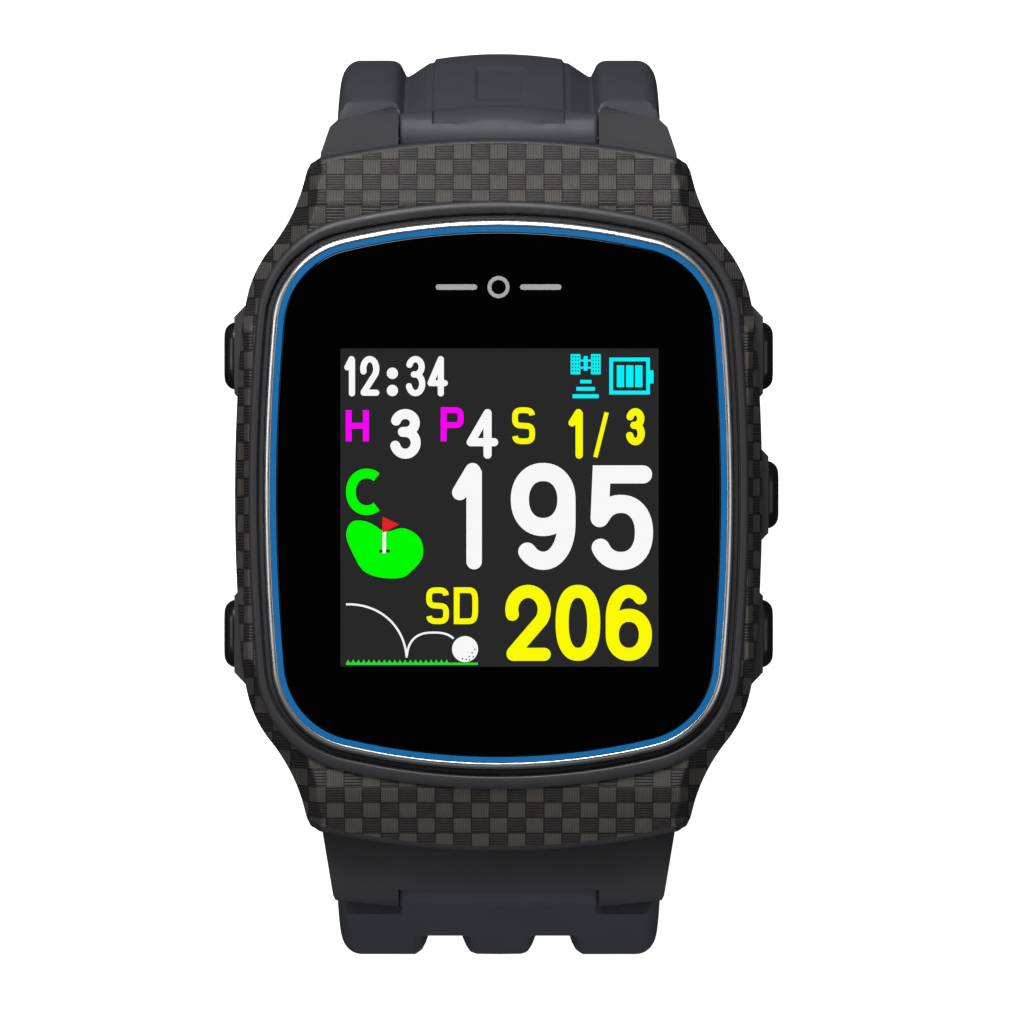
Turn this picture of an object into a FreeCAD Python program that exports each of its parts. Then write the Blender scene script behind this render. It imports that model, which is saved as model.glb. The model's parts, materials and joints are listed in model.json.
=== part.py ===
"""Golf GPS watch: a case with its dial facing up, standing on its two open strap halves.

Millimetres, +Z up out of the dial, +Y towards twelve o'clock. The origin is on the table, under the
middle of the dial. Heights of the case's own pieces are measured from the case back.
"""
import FreeCAD
import Part
import Sketcher
import math
import os
import re
from FreeCAD import Placement, Rotation, Vector

DIMENSIONS = {
    # The case back's height over the table, and the outline that the glass and its rings share.
    "case_lift": 47.1, "glass_x": 16.52, "glass_y": 19.41, "flank_arc": 140.0, "brow_arc": 48.0,
    "corner_arc": 6.25,
    # The patterned shell: half sizes, flank and end arcs, and the two arcs that draw it in to its ends.
    "shell_x": 19.1, "shell_y": 25.95, "shell_flank_arc": 132.0, "shell_flank_end": 13.5, "shoulder_arc": 8.5,
    "shoulder_turn": 39.0, "waist_arc": 12.9, "waist_turn": 14.0, "shell_end_arc": 57.7, "shell_end_x": 13.7,
    "shell_floor": 7.4, "shell_roof": 12.1, "shell_eave": 9.4, "shell_inside": 0.95,
    # The bezel ring and the three pieces inside it.
    "bezel_x": 18.12, "bezel_y": 21.3, "bezel_arc_out": 1.7, "bezel_top": 12.6, "bezel_seat": 11.8,
    "bezel_foot": 10.9, "groove_floor": 12.15, "groove_out": 0.98, "body_in": 0.5, "body_out": 0.9, "ledge": 1.2,
    "ledge_top": 11.6, "trim_in": 0.03, "trim_out": 0.48, "glass_top": 13.0, "accent_in": 0.42, "lens_in": 0.44,
    "lens_floor": 11.8, "trim_edge": 0.15,
    # The stack under the glass.
    "panel_x": 25.6, "panel_y": 28.4, "panel_floor": 10.75, "light_floor": 10.2, "light_x": 25.0, "light_y": 27.0,
    "frame_in": 0.3, "frame_floor": 8.9, "skirt_in": 1.6, "board_in": 1.1, "board_floor": 7.0, "board_top": 7.8,
    # The tub of the case, its openings and the back cover.
    "tub_floor": 0.6, "tub_in": 0.1, "cavity_floor": 3.0, "hatch_in": 4.2, "hatch_recess": 0.95, "cover_in": 1.0,
    "cover_flange": 1.5, "cover_top": 2.2, "cover_gap": 0.1, "back_screw_x": 12.12, "back_screw_y": 14.42,
    "screw_head": 1.25, "screw_shank": 0.7, "screw_hole": 0.72, "head_tall": 0.8, "shell_screw_x": 8.0,
    "shell_screw_y": 21.3, "shell_screw_top": 9.2, "pad_spacing": 2.5, "pad_r": 0.8, "pad_y": 11.0,
    # The lugs and the spring bars.
    "tongue": 14.7, "lug_x": 12.85, "lug_nose": 2.45, "lug_clear": 2.75, "bar_r": 0.75, "bar_long": 14.3,
    "tip_r": 0.4, "tip_hole": 0.45, "tip_long": 1.9, "upper_bar_y": 26.2, "upper_bar_z": 2.6, "lower_bar_y": 28.0,
    "lower_bar_z": 2.6, "hood_y": 29.0, "hood_z": 5.6,
    # The straps: half width, the two faces measured from the centre line, and its arcs.
    "strap_x": 12.0, "strap_in": 1.3, "strap_out": 1.3, "panel_out": 1.8, "channel_out": 0.05, "panel_half": 4.9,
    "ridge_half": 6.9, "upper_arc": 46.24, "curl_arc": 14.0, "curl_turn": 105.0, "upper_run": 20.0,
    "lower_arc": 47.15, "tail_arc": 25.6, "tail_out": 1.5, "tail_run": 23.6, "tail_tip": 9.0, "tip_lift": 8.0,
    "slot_mid": 4.2, "slot_half": 1.5, "slot_floor": 0.5, "pin_hole_r": 1.15, "pin_pitch": 5.5, "bore_r": 0.82,
    # The buckle, its prong and the keepers.
    "eye_r": 2.0, "buckle_x": 14.0, "buckle_long": 13.5, "buckle_bar": 2.0, "arm_x": 1.5, "buckle_thick": 2.2,
    "prong_x": 2.1, "prong_thick": 1.0, "prong_long": 12.9, "keeper_wide": 4.0, "keeper_wall": 1.0,
    "keeper_room": 3.1, "fixed_keeper_at": 7.6, "sliding_keeper_at": 13.0,
    # The push buttons.
    "button_z": 4.6, "button_y": 10.2, "middle_floor": 17.9, "outer_floor": 17.5, "cap_long": 5.0, "cap_tall": 3.0,
    "cap_from": 0.8, "cap_to": 2.65, "stem_r": 0.8, "stem_end": 2.2, "stem_hole": 0.85, "seal_at": 0.7,
    "seal_groove": 0.55, "clip_at": 1.6, "clip_thick": 0.25, "clip_r": 1.4, "clip_groove": 0.5, "pocket_gap": 0.15,
    "spring_in": 0.92, "spring_out": 1.36, "spring_wall": 0.1, "boss_long": 6.6, "boss_tall": 4.6, "boss_out": 1.85,
    "switch_face": 2.8,
}

doc = FreeCAD.newDocument("GolfWatch")
sizes = doc.addObject("Spreadsheet::Sheet", "Sizes")
for row, (word, number) in enumerate(DIMENSIONS.items(), start=1):
    sizes.set(f"A{row}", word)
    sizes.set(f"B{row}", str(number))
    sizes.setAlias(f"B{row}", word)
doc.recompute()
BUTTONS = [
    ("left_upper", "-1", "button_y", "outer_floor"),
    ("left_lower", "-1", "-1 * button_y", "outer_floor"),
    ("right_upper", "1", "button_y", "outer_floor"),
    ("right_middle", "1", "0", "middle_floor"),
    ("right_lower", "1", "-1 * button_y", "outer_floor"),
]
SUBPARTS = []
ACROSS = Rotation(Vector(0, 1, 0), 90)
UP = Vector(0, 0, 1)


def number(formula):
    """The value of sums and products of sheet words and plain numbers."""
    total = 0.0
    for sign, term in re.findall(r"([+-]?)\s*([^+-]+)", formula):
        product = 1.0
        for mark, word in re.findall(r"([*/]?)\s*([\w.]+)", term):
            factor = DIMENSIONS[word] if word in DIMENSIONS else float(word)
            product = product / factor if mark == "/" else product * factor
        total += -product if sign == "-" else product
    return total


def bound(formula):
    """The same formula as an expression that reads the sheet."""
    return re.sub(r"[a-z_]\w*", r"Sizes.\g<0>", formula)


def piece(thing, label):
    """Names a finished sub-part and puts it on the list of what is written out."""
    thing.Label = label
    SUBPARTS.append(thing)
    return thing


def place(thing, x="0", y="0", z="0", rotation=None):
    """Turns an object and binds where it stands."""
    thing.Placement = Placement(Vector(0, 0, 0), rotation or Rotation())
    for axis, formula in zip("xyz", (x, y, z)):
        thing.setExpression(f"Placement.Base.{axis}", bound(formula))
    return thing


def block(name, x, y, z):
    """A box between pairs of formulas along each axis, with z over the case back."""
    box = doc.addObject("Part::Box", name)
    for edge, (low, high) in zip(("Length", "Width", "Height"), (x, y, z)):
        box.setExpression(edge, f"({bound(high)}) - ({bound(low)})")
    return place(box, x[0], y[0], f"case_lift + {z[0]}")


def rod(name, radius, length, x="0", y="0", z="0", rotation=None):
    """A cylinder that starts at the point given and runs along +Z, or along what rotation makes of it."""
    cylinder = doc.addObject("Part::Cylinder", name)
    cylinder.setExpression("Radius", bound(radius))
    cylinder.setExpression("Height", bound(length))
    return place(cylinder, x, y, z, rotation)


def cross_rod(name, radius, length, y, z, mid="0"):
    """A cylinder along X, centred over mid."""
    return rod(name, radius, length, f"{mid} - ({length}) / 2", y, z, ACROSS)


def joined(name, things):
    fuse = doc.addObject("Part::MultiFuse", name)
    fuse.Shapes = things
    return fuse


def shared(name, things):
    common = doc.addObject("Part::MultiCommon", name)
    common.Shapes = things
    return common


def without(name, base, tools):
    cut = doc.addObject("Part::Cut", name)
    cut.Base = base
    cut.Tool = tools[0] if len(tools) == 1 else joined(name + "_tools", tools)
    return cut


def new_body(name, lifted=True):
    """An empty body. A lifted one has its origin at the case back."""
    body = doc.addObject("PartDesign::Body", name)
    return place(body, z="case_lift") if lifted else body


def new_sketch(body, role, offset="0"):
    """A sketch on one of the body's own origin planes, moved along that plane's normal."""
    sketch = body.newObject("Sketcher::SketchObject", f"{body.Name}_sketch")
    plane = next(f for f in body.Origin.OriginFeatures if f.Role == role)
    sketch.AttachmentSupport = (plane, [""])
    sketch.MapMode = "FlatFace"
    sketch.setExpression("AttachmentOffset.Base.z", bound(offset))
    return sketch


def pull(body, sketch, length):
    """Pads a sketch along its plane's normal."""
    pad = body.newObject("PartDesign::Pad", f"{body.Name}_pad")
    pad.Profile = sketch
    pad.setExpression("Length", bound(length))
    sketch.Visibility = False
    doc.recompute()
    return pad


def sink(body, sketch, length):
    """Cuts a sketch against its plane's normal, and checks that it did cut."""
    before = body.Shape.Volume
    pocket = body.newObject("PartDesign::Pocket", f"{body.Name}_pocket")
    pocket.Profile = sketch
    pocket.setExpression("Length", bound(length))
    doc.recompute()
    assert body.Shape.Volume < before, pocket.Name
    return pocket


def soften(body, height, size, kind="Chamfer"):
    """Breaks every edge of the body that lies at one height over its origin."""
    tip = body.Tip
    names = []
    for index, edge in enumerate(tip.Shape.Edges, start=1):
        box = edge.BoundBox
        if abs(box.ZMin - number(height)) < 1e-4 and abs(box.ZMax - number(height)) < 1e-4:
            names.append(f"Edge{index}")
    feature = body.newObject(f"PartDesign::{kind}", f"{body.Name}_edge")
    feature.Base = (tip, names)
    feature.setExpression("Radius" if kind == "Fillet" else "Size", bound(size))
    doc.recompute()
    return feature


def fix(sketch, kind, parts, formula):
    """Adds a sized constraint and binds it to the sheet."""
    index = sketch.addConstraint(Sketcher.Constraint(kind, *parts, number(formula)))
    sketch.setExpression(f"Constraints[{index}]", bound(formula))


def arc(y, z, radius, start, end):
    """An arc round (y, z), counter-clockwise between two angles in degrees."""
    circle = Part.Circle(Vector(y, z, 0), UP, radius)
    return Part.ArcOfCircle(circle, math.radians(start), math.radians(end))


def line(start, end):
    return Part.LineSegment(Vector(*start, 0), Vector(*end, 0))


def path(sketch, points):
    """A closed outline of straight lines."""
    for start, end in zip(points, points[1:] + points[:1]):
        sketch.addGeometry(line(start, end), False)


def disc(sketch, radius):
    """A circle round the sketch's origin."""
    index = sketch.addGeometry(Part.Circle(Vector(0, 0, 0), UP, number(radius)), False)
    sketch.addConstraint(Sketcher.Constraint("Coincident", index, 3, -1, 1))
    fix(sketch, "Radius", (index,), radius)


def barrel(sketch, out="0", wide=False):
    """The outline of the glass moved outwards, or of the wide bezel: tangent flank, brow and corner arcs."""
    half_x, half_y = ("bezel_x", "bezel_y") if wide else ("glass_x", "glass_y")
    grow = "bezel_arc_out" if wide else out
    rest, back = (f" + {out} - {grow}", f" - {out} + {grow}") if wide else ("", "")
    side_x, side_back = f"{half_x} - flank_arc{rest}", f"flank_arc - {half_x}{back}"
    top_y, top_back = f"{half_y} - brow_arc{rest}", f"brow_arc - {half_y}{back}"
    flank, brow, corner = f"flank_arc + {grow}", f"brow_arc + {grow}", f"corner_arc + {grow}"
    side, top = Vector(number(side_x), 0), Vector(0, number(top_y))
    reach_side, reach_top = number(flank) - number(corner), number(brow) - number(corner)
    apart = (top - side).Length
    along = (reach_side**2 - reach_top**2 + apart**2) / (2 * apart)
    way = (top - side) * (1 / apart)
    away = math.sqrt(reach_side**2 - along**2)
    mid = side + way * along + Vector(-way.y, way.x) * away
    if mid.x < 0 or mid.y < 0:
        mid = side + way * along + Vector(way.y, -way.x) * away
    low = math.degrees(math.atan2(mid.y, mid.x - side.x))
    high = math.degrees(math.atan2(mid.y - top.y, mid.x))
    ends = (-low, low, high, 180 - high, 180 - low, 180 + low, 180 + high, 360 - high, 360 - low)
    centres = (side, mid, top, Vector(-mid.x, mid.y), -side, -mid, -top, Vector(mid.x, -mid.y))
    radii = (flank, corner, brow, corner) * 2
    curves = [
        sketch.addGeometry(arc(centre.x, centre.y, number(radius), start, end), False)
        for centre, radius, start, end in zip(centres, radii, ends, ends[1:])
    ]
    for first, second in zip(curves, curves[1:] + curves[:1]):
        sketch.addConstraint(Sketcher.Constraint("Tangent", first, 2, second, 1))
    for curve, radius in zip(curves, radii):
        fix(sketch, "Radius", (curve,), radius)
    for turn, across, lengthwise, words in (
        (0, "Y", "X", side_x), (4, "Y", "X", side_back), (2, "X", "Y", top_y), (6, "X", "Y", top_back),
    ):
        sketch.addConstraint(Sketcher.Constraint(f"Distance{across}", -1, 1, curves[turn], 3, 0.0))
        fix(sketch, f"Distance{lengthwise}", (-1, 1, curves[turn], 3), words)


def ring(body, outer, inner, low, high, wide=False):
    """Adds to a body the ring between two glass outlines, or the slab inside one, from one height to another."""
    sketch = new_sketch(body, "XY_Plane", low)
    barrel(sketch, outer, wide)
    if inner:
        barrel(sketch, inner)
    return pull(body, sketch, f"({high}) - ({low})")


def slab(name, outer, low, high, inner=None, wide=False):
    body = new_body(name)
    ring(body, outer, inner, low, high, wide)
    return body


def corner_points(x, y):
    """The four points at plus and minus x and y, as formulas."""
    return [(f"{sx} * {x}", f"{sy} * {y}") for sx in ("1", "-1") for sy in ("1", "-1")]


# ---------------------------------------------------------------------------------- the outlines

def shell_corner(out):
    """The arcs and points of the shell's outline in the quarter where x and y are positive."""
    d = DIMENSIONS
    flank = d["shell_flank_arc"]
    lean = math.asin(d["shell_flank_end"] / flank)
    turn, settle = math.radians(d["shoulder_turn"]), math.radians(d["waist_turn"])
    x = d["shell_x"] - flank * (1 - math.cos(lean))
    y = d["shell_flank_end"]
    shoulder = d["shoulder_arc"]
    shoulder_mid = (x - shoulder * math.cos(lean), y - shoulder * math.sin(lean))
    x = shoulder_mid[0] + shoulder * math.cos(turn)
    y = shoulder_mid[1] + shoulder * math.sin(turn)
    waist = d["waist_arc"]
    waist_mid = (x + waist * math.cos(turn), y + waist * math.sin(turn))
    x = waist_mid[0] - (waist - out) * math.cos(settle)
    y = waist_mid[1] - (waist - out) * math.sin(settle)
    end_arc = d["shell_end_arc"] + out
    end_y = d["shell_y"] - d["shell_end_arc"]
    corner_x = x
    for _ in range(20):
        corner_y = end_y + math.sqrt(end_arc**2 - corner_x**2)
        corner_x = x - (corner_y - y) * math.tan(settle)
    end_angle = math.degrees(math.atan2(corner_y - end_y, corner_x))
    arcs = [
        (d["shell_x"] - flank, 0, flank + out, 0, math.degrees(lean)),
        (*shoulder_mid, shoulder + out, math.degrees(lean), d["shoulder_turn"]),
        (*waist_mid, waist - out, 180 + d["waist_turn"], 180 + d["shoulder_turn"]),
        (0, end_y, end_arc, end_angle, 90),
    ]
    return arcs, (x, y), (corner_x, corner_y)


def shell_outline(sketch, out=0.0):
    """The waisted outline of the shell, the same in all four quarters."""
    arcs, straight, corner = shell_corner(out)
    for sx in (1, -1):
        for sy in (1, -1):
            for x, y, radius, start, end in arcs:
                angles = (start, end) if sx > 0 else (180 - end, 180 - start)
                angles = angles if sy > 0 else (-angles[1], -angles[0])
                sketch.addGeometry(arc(x * sx, y * sy, radius, *angles), False)
            ends = [(x * sx, y * sy) for x, y in (straight, corner)]
            sketch.addGeometry(line(*ends), False)


def prism(name, points, role, start, length, lifted=True):
    """A straight-sided prism on one of the origin planes."""
    body = new_body(name, lifted)
    sketch = new_sketch(body, role, start)
    path(sketch, points)
    pull(body, sketch, length)
    return body


# ---------------------------------------------------------------------------------- the front

def make_front():
    """The patterned shell, the bezel, the two coloured rings, the glass and its gasket."""
    d = DIMENSIONS
    plan = new_body("shell_plan")
    outline = new_sketch(plan, "XY_Plane", "shell_floor")
    shell_outline(outline)
    pull(plan, outline, "shell_roof - shell_floor")
    far, floor = d["shell_y"] + 1, d["shell_floor"]
    slope = (d["shell_roof"] - d["shell_eave"]) / (d["shell_y"] - d["bezel_y"])
    eave = d["shell_eave"] - slope
    roof_half = [(far, floor), (far, eave), (d["bezel_y"], d["shell_roof"])]
    roof = prism("shell_roof", roof_half + [(-y, z) for y, z in reversed(roof_half)], "YZ_Plane",
                 "0 - shell_x - 1", "2 * shell_x + 2")
    side = d["shell_x"] + 0.1
    wall_half = [(side, floor), (side, d["shell_eave"]), (d["bezel_x"], d["shell_roof"])]
    walls = prism("shell_walls", wall_half + [(-x, z) for x, z in reversed(wall_half)], "XZ_Plane",
                  "0 - shell_y - 1", "2 * shell_y + 2")
    blank = shared("shell_blank", [plan, roof, walls])
    inside = slab("shell_inside_cut", "shell_inside", "shell_floor - 1", "shell_roof + 1")
    seat = slab("bezel_seat_cut", "cover_gap", "bezel_seat", "shell_roof + 1", wide=True)
    holes = [
        rod("shell_screw_hole", "screw_shank", "shell_screw_top - shell_floor", x, y, "case_lift + shell_floor")
        for x, y in corner_points("shell_screw_x", "shell_screw_y")
    ]
    piece(without("front_shell_cut", blank, [inside, seat] + holes), "front_shell")

    bezel = new_body("bezel")
    ring(bezel, "body_out", "0 - ledge", "bezel_foot", "ledge_top")
    ring(bezel, "body_out", "body_in", "ledge_top", "bezel_seat")
    ring(bezel, "0", "body_in", "bezel_seat", "groove_floor", wide=True)
    ring(bezel, "0", "groove_out", "groove_floor", "bezel_top", wide=True)
    piece(bezel, "bezel_ring")

    trim = slab("trim", "trim_out", "ledge_top", "glass_top", inner="trim_in")
    soften(trim, "glass_top", "trim_edge")
    piece(trim, "trim_ring")
    accent = slab("accent", "0", "ledge_top", "glass_top - 0.02", inner="0 - accent_in")
    piece(accent, "accent_ring")
    lens = slab("lens_body", "0 - lens_in", "lens_floor", "glass_top")
    soften(lens, "glass_top", "trim_edge / 2")
    piece(lens, "lens")
    piece(slab("gasket", "0 - lens_in", "ledge_top", "lens_floor", inner="0 - ledge"), "lens_gasket")


# ---------------------------------------------------------------------------------- inside the case

def make_inside():
    """The display and its light, the frame that holds them, the board and what is on it, and the battery."""
    piece(block("display", ("0 - panel_x / 2", "panel_x / 2"), ("0 - panel_y / 2", "panel_y / 2"),
                ("panel_floor", "lens_floor")), "display_panel")
    piece(block("light", ("0 - light_x / 2", "light_x / 2"), ("0 - light_y / 2", "light_y / 2"),
                ("light_floor", "panel_floor")), "backlight_guide")
    plate = slab("frame_plate", "0 - frame_in", "frame_floor", "bezel_foot")
    skirt = slab("frame_skirt", "0 - frame_in", "board_top", "frame_floor", inner="0 - skirt_in")
    tray = block("frame_tray", ("0 - panel_x / 2 - 0.1", "panel_x / 2 + 0.1"),
                 ("0 - panel_y / 2 - 0.1", "panel_y / 2 + 0.1"), ("light_floor", "bezel_foot"))
    slot = block("flex_slot", ("-5.3", "5.3"), ("-15.3", "-14.9"), ("frame_floor", "bezel_foot"))
    piece(without("frame_cut", joined("frame_blank", [plate, skirt]), [tray, slot]), "inner_frame")
    tail = block("flex_tail", ("-5", "5"), ("-15.2", "-15"), ("board_top", "panel_floor + 0.35"))
    lip = block("flex_lip", ("-5", "5"), ("-15", "0 - panel_y / 2"),
                ("panel_floor + 0.15", "panel_floor + 0.35"))
    piece(joined("flex", [tail, lip]), "display_flex")

    piece(slab("board", "0 - board_in", "board_floor", "board_top"), "main_board")
    piece(block("antenna", ("-6", "6"), ("12", "16"), ("board_top", "board_top + 1")), "gps_antenna")
    piece(block("can", ("-11", "2"), ("-9", "4"), ("board_top", "board_top + 0.9")), "shield_can")
    piece(block("cell_pad", ("-9", "9"), ("-12.5", "5.5"), ("cover_top", "cover_top + 0.3")), "battery_pad")
    piece(block("cell", ("-11", "11"), ("-13.4", "6.0"), ("cover_top + 0.3", "cover_top + 3.9")), "battery")
    piece(rod("motor", "3.5", "2.7", "-6.5", "10.6", "case_lift + cover_top"), "vibration_motor")
    piece(rod("buzzer", "4", "2", "5.5", "10.2", "case_lift + cover_top"), "piezo_buzzer")
    switches = []
    for name, side, y, floor in BUTTONS:
        x = (f"{floor} - switch_face - 1.8", f"{floor} - switch_face")
        if side == "-1":
            x = (f"0 - {floor} + switch_face", f"0 - {floor} + switch_face + 1.8")
        wide = (f"{y} - 1.75", f"{y} + 1.75")
        switches.append(block(f"switch_{name}", x, wide, ("button_z - 1.2", "board_floor")))
    piece(joined("switches", switches), "side_switches")


# ---------------------------------------------------------------------------------- the case

def lug_profile(sketch, end, far):
    """A lug seen from the side: a round nose about the spring bar, with lines back to the case and the hood."""
    d = DIMENSIONS
    nose, y, z = d["lug_nose"], d[f"{end}_bar_y"], d[f"{end}_bar_z"]
    crown, floor = d["shell_floor"], d["tub_floor"]
    top = [(0, crown), (d["shell_y"] - 1.0, crown)]
    if end == "lower":
        top += [(d["hood_y"], d["hood_z"]), (d["hood_y"] + 0.9, z + 1.9)]
    root = [(d["shell_y"] - 3.2, 1.0), (d["shell_y"] - 4.7, floor), (0, floor)]
    touch = []
    for point, sign in ((root[0], 1), (top[-1], -1)):
        apart = math.hypot(point[0] - y, point[1] - z)
        toward = math.degrees(math.atan2(point[1] - z, point[0] - y))
        touch.append((toward + sign * math.degrees(math.acos(nose / apart))) % 360)
    start, stop = touch[0] - 360, touch[1]
    turns = [math.radians(angle) for angle in (start, stop)]
    ends = [(y + nose * math.cos(turn), z + nose * math.sin(turn)) for turn in turns]
    angles = (start, stop) if far > 0 else (180 - stop, 180 - start)
    sketch.addGeometry(arc(y * far, z, nose, *angles), False)
    for run in (top + [ends[1]], [ends[0]] + root):
        for (a_y, a_z), (b_y, b_z) in zip(run, run[1:]):
            sketch.addGeometry(line((a_y * far, a_z), (b_y * far, b_z)), False)


def make_case():
    """The tub with its lugs, hood and button bosses, the back cover, and the screws."""
    d = DIMENSIONS
    plan = new_body("case_plan")
    outline = new_sketch(plan, "XY_Plane", "tub_floor")
    shell_outline(outline, -0.15)
    pull(plan, outline, "shell_floor - tub_floor")
    half, lug = d["tongue"] / 2, d["lug_x"]
    upper_tip, lower_tip = d["upper_bar_y"] + d["lug_nose"], d["lower_bar_y"] + d["lug_nose"]
    ends = []
    for sign in (1, -1):
        horn = [(half, 20), (half, upper_tip - 0.6), (half + 0.18, upper_tip - 0.18), (half + 0.6, upper_tip),
                (half + 1, upper_tip - 0.2), (lug - 1.0, upper_tip - 1.1), (lug - 0.45, upper_tip - 1.65),
                (lug + 0.15, 25), (lug + 0.5, 22), (lug + 0.5, 20)]
        ends.append(prism("upper_lug", [(sign * x, y) for x, y in horn], "XY_Plane", "tub_floor - 1",
                          "shell_floor - tub_floor + 1"))
    hood = [(half, -d["hood_y"]), (half, 0.1 - lower_tip), (lug - 0.85, 0.65 - lower_tip),
            (lug - 0.7, 1.0 - lower_tip), (lug + 0.05, -24.5), (lug + 0.5, -22), (lug + 0.5, -20)]
    ends.append(prism("hood", hood + [(-x, y) for x, y in reversed(hood)], "XY_Plane", "tub_floor - 1",
                      "shell_floor - tub_floor + 1"))
    side = new_body("case_side")
    sketch = new_sketch(side, "YZ_Plane", "0 - shell_x - 1")
    for far, end in ((1, "upper"), (-1, "lower")):
        lug_profile(sketch, end, far)
    pull(side, sketch, "2 * shell_x + 2")
    blank = shared("case_blank", [joined("case_outline", [plan] + ends), side])

    bosses = []
    cuts = [
        slab("cavity_cut", "0 - tub_in", "cavity_floor", "shell_floor + 1"),
        slab("hatch_cut", "0 - hatch_in", "0", "cavity_floor + 1"),
        slab("recess_cut", "0 - hatch_recess", "0", "cover_flange"),
    ]
    for name, side_sign, y, floor in BUTTONS:
        boss = new_body(f"boss_{name}", False)
        sketch = new_sketch(boss, "XY_Plane", "0 - boss_tall / 2")
        reach, out = d["boss_long"] / 2, d["boss_out"]
        path(sketch, [(-1.2, -reach - 1.4), (0.9, -reach - 0.5), (out, -reach + 0.5), (out, reach - 0.5),
                      (0.9, reach + 0.5), (-1.2, reach + 1.4)])
        pull(boss, sketch, "boss_tall")
        bosses.append(beside(boss, side_sign, y, floor))
        pocket = new_body(f"pocket_{name}", False)
        sketch = new_sketch(pocket, "YZ_Plane", "0")
        pill(sketch, "pocket_gap")
        pull(pocket, sketch, "boss_out + 1")
        cuts.append(beside(pocket, side_sign, y, floor))
        bore = new_body(f"bore_{name}", False)
        sketch = new_sketch(bore, "YZ_Plane", "0 - stem_end")
        disc(sketch, "stem_hole")
        pull(bore, sketch, "stem_end + 1")
        cuts.append(beside(bore, side_sign, y, floor))
    for end, sign, bar_y, bar_z in (("upper", "1", "upper_bar_y", "upper_bar_z"),
                                    ("lower", "-1", "lower_bar_y", "lower_bar_z")):
        y, z = f"{sign} * {bar_y}", f"case_lift + {bar_z}"
        cuts.append(cross_rod(f"{end}_knuckle_cut", "lug_clear", "tongue", y, z))
        near, far = f"{bar_y} - lug_clear", f"{bar_y} + lug_clear"
        if sign == "-1":
            near, far = f"0 - {far}".replace("+", "-"), f"0 - {bar_y} + lug_clear"
        high = bar_z if sign == "-1" else "shell_floor + 1"
        cuts.append(block(f"{end}_tongue_cut", ("0 - tongue / 2", "tongue / 2"), (near, far), ("-3", high)))
        cuts.append(cross_rod(f"{end}_tip_cut", "tip_hole", "tongue + 2 * tip_long + 0.2", y, z))
    for x, y in corner_points("back_screw_x", "back_screw_y"):
        cuts.append(rod("back_screw_hole", "screw_hole", "cavity_floor", x, y, "case_lift"))
    for x, y in corner_points("shell_screw_x", "shell_screw_y"):
        cuts.append(rod("shell_screw_hole", "screw_hole", "shell_floor + 1", x, y, "case_lift"))
        cuts.append(rod("shell_head_hole", "screw_head + 0.05", "tub_floor + head_tall", x, y, "case_lift"))
    piece(without("case_cut", joined("case_full", [blank] + bosses), cuts), "mid_case")

    cover = new_body("cover")
    ring(cover, "0 - cover_in", None, "0", "cover_flange")
    ring(cover, "0 - hatch_in - cover_gap", None, "cover_flange", "cover_top")
    soften(cover, "0", "0.3")
    cuts = [slab("cover_groove", "0 - 3.5", "cover_flange - 0.2", "cover_flange + 0.1", inner="0 - 4.1")]
    for x, y in corner_points("back_screw_x", "back_screw_y"):
        cuts.append(rod("cover_hole", "screw_hole", "cover_top", x, y, "case_lift"))
        cuts.append(rod("cover_head_hole", "screw_head + 0.05", "head_tall", x, y, "case_lift"))
    contacts = []
    for place_in_row in ("-1.5", "-0.5", "0.5", "1.5"):
        x = f"{place_in_row} * pad_spacing"
        cuts.append(rod("contact_hole", "pad_r", "cover_top", x, "0 - pad_y", "case_lift"))
        contacts.append(rod("contact", "pad_r", "cover_top", x, "0 - pad_y", "case_lift"))
    piece(without("cover_cut", cover, cuts), "rear_cover")
    piece(joined("contacts", contacts), "charging_contacts")
    piece(slab("cover_seal", "0 - 3.5", "cover_flange - 0.2", "cover_flange", inner="0 - 4.1"), "rear_gasket")
    piece(screws("back_screws", "back_screw_x", "back_screw_y", "0", "cavity_floor"), "rear_screws")
    piece(screws("front_screws", "shell_screw_x", "shell_screw_y", "tub_floor", "shell_screw_top"), "shell_screws")


def screws(name, x_word, y_word, low, high):
    """Four screws with cross recesses, heads down."""
    made = []
    for x, y in corner_points(x_word, y_word):
        head = rod(f"{name}_head", "screw_head", "head_tall", x, y, f"case_lift + {low}")
        shank = rod(f"{name}_shank", "screw_shank", f"{high} - {low}", x, y, f"case_lift + {low}")
        slots = [
            block(f"{name}_slot", (f"{x} - {a}", f"{x} + {a}"), (f"{y} - {b}", f"{y} + {b}"), (low, f"{low} + 0.4"))
            for a, b in (("0.75", "0.15"), ("0.15", "0.75"))
        ]
        made.append(without(f"{name}_screw", joined(f"{name}_blank", [head, shank]), slots))
    return joined(name, made)


def make_bars():
    """The spring bars between the lugs, with their sprung tips in the lugs' holes."""
    for end, y, z in (("upper", "upper_bar_y", "case_lift + upper_bar_z"),
                      ("lower", "0 - lower_bar_y", "case_lift + lower_bar_z")):
        piece(cross_rod(f"{end}_bar", "bar_r", "bar_long", y, z), f"{end}_spring_bar")
        tips = [rod(f"{end}_tip", "tip_r", "tip_long", x, y, z, ACROSS)
                for x in ("bar_long / 2", "0 - bar_long / 2 - tip_long")]
        piece(joined(f"{end}_tips", tips), f"{end}_bar_tips")


# ---------------------------------------------------------------------------------- the buttons

def beside(thing, side, y, floor):
    """Stands a piece of a button at the floor of its pocket, with its own +X pointing out of the case."""
    return place(thing, f"{side} * {floor}", y, "case_lift + button_z", Rotation(UP, 0 if side == "1" else 180))


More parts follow.
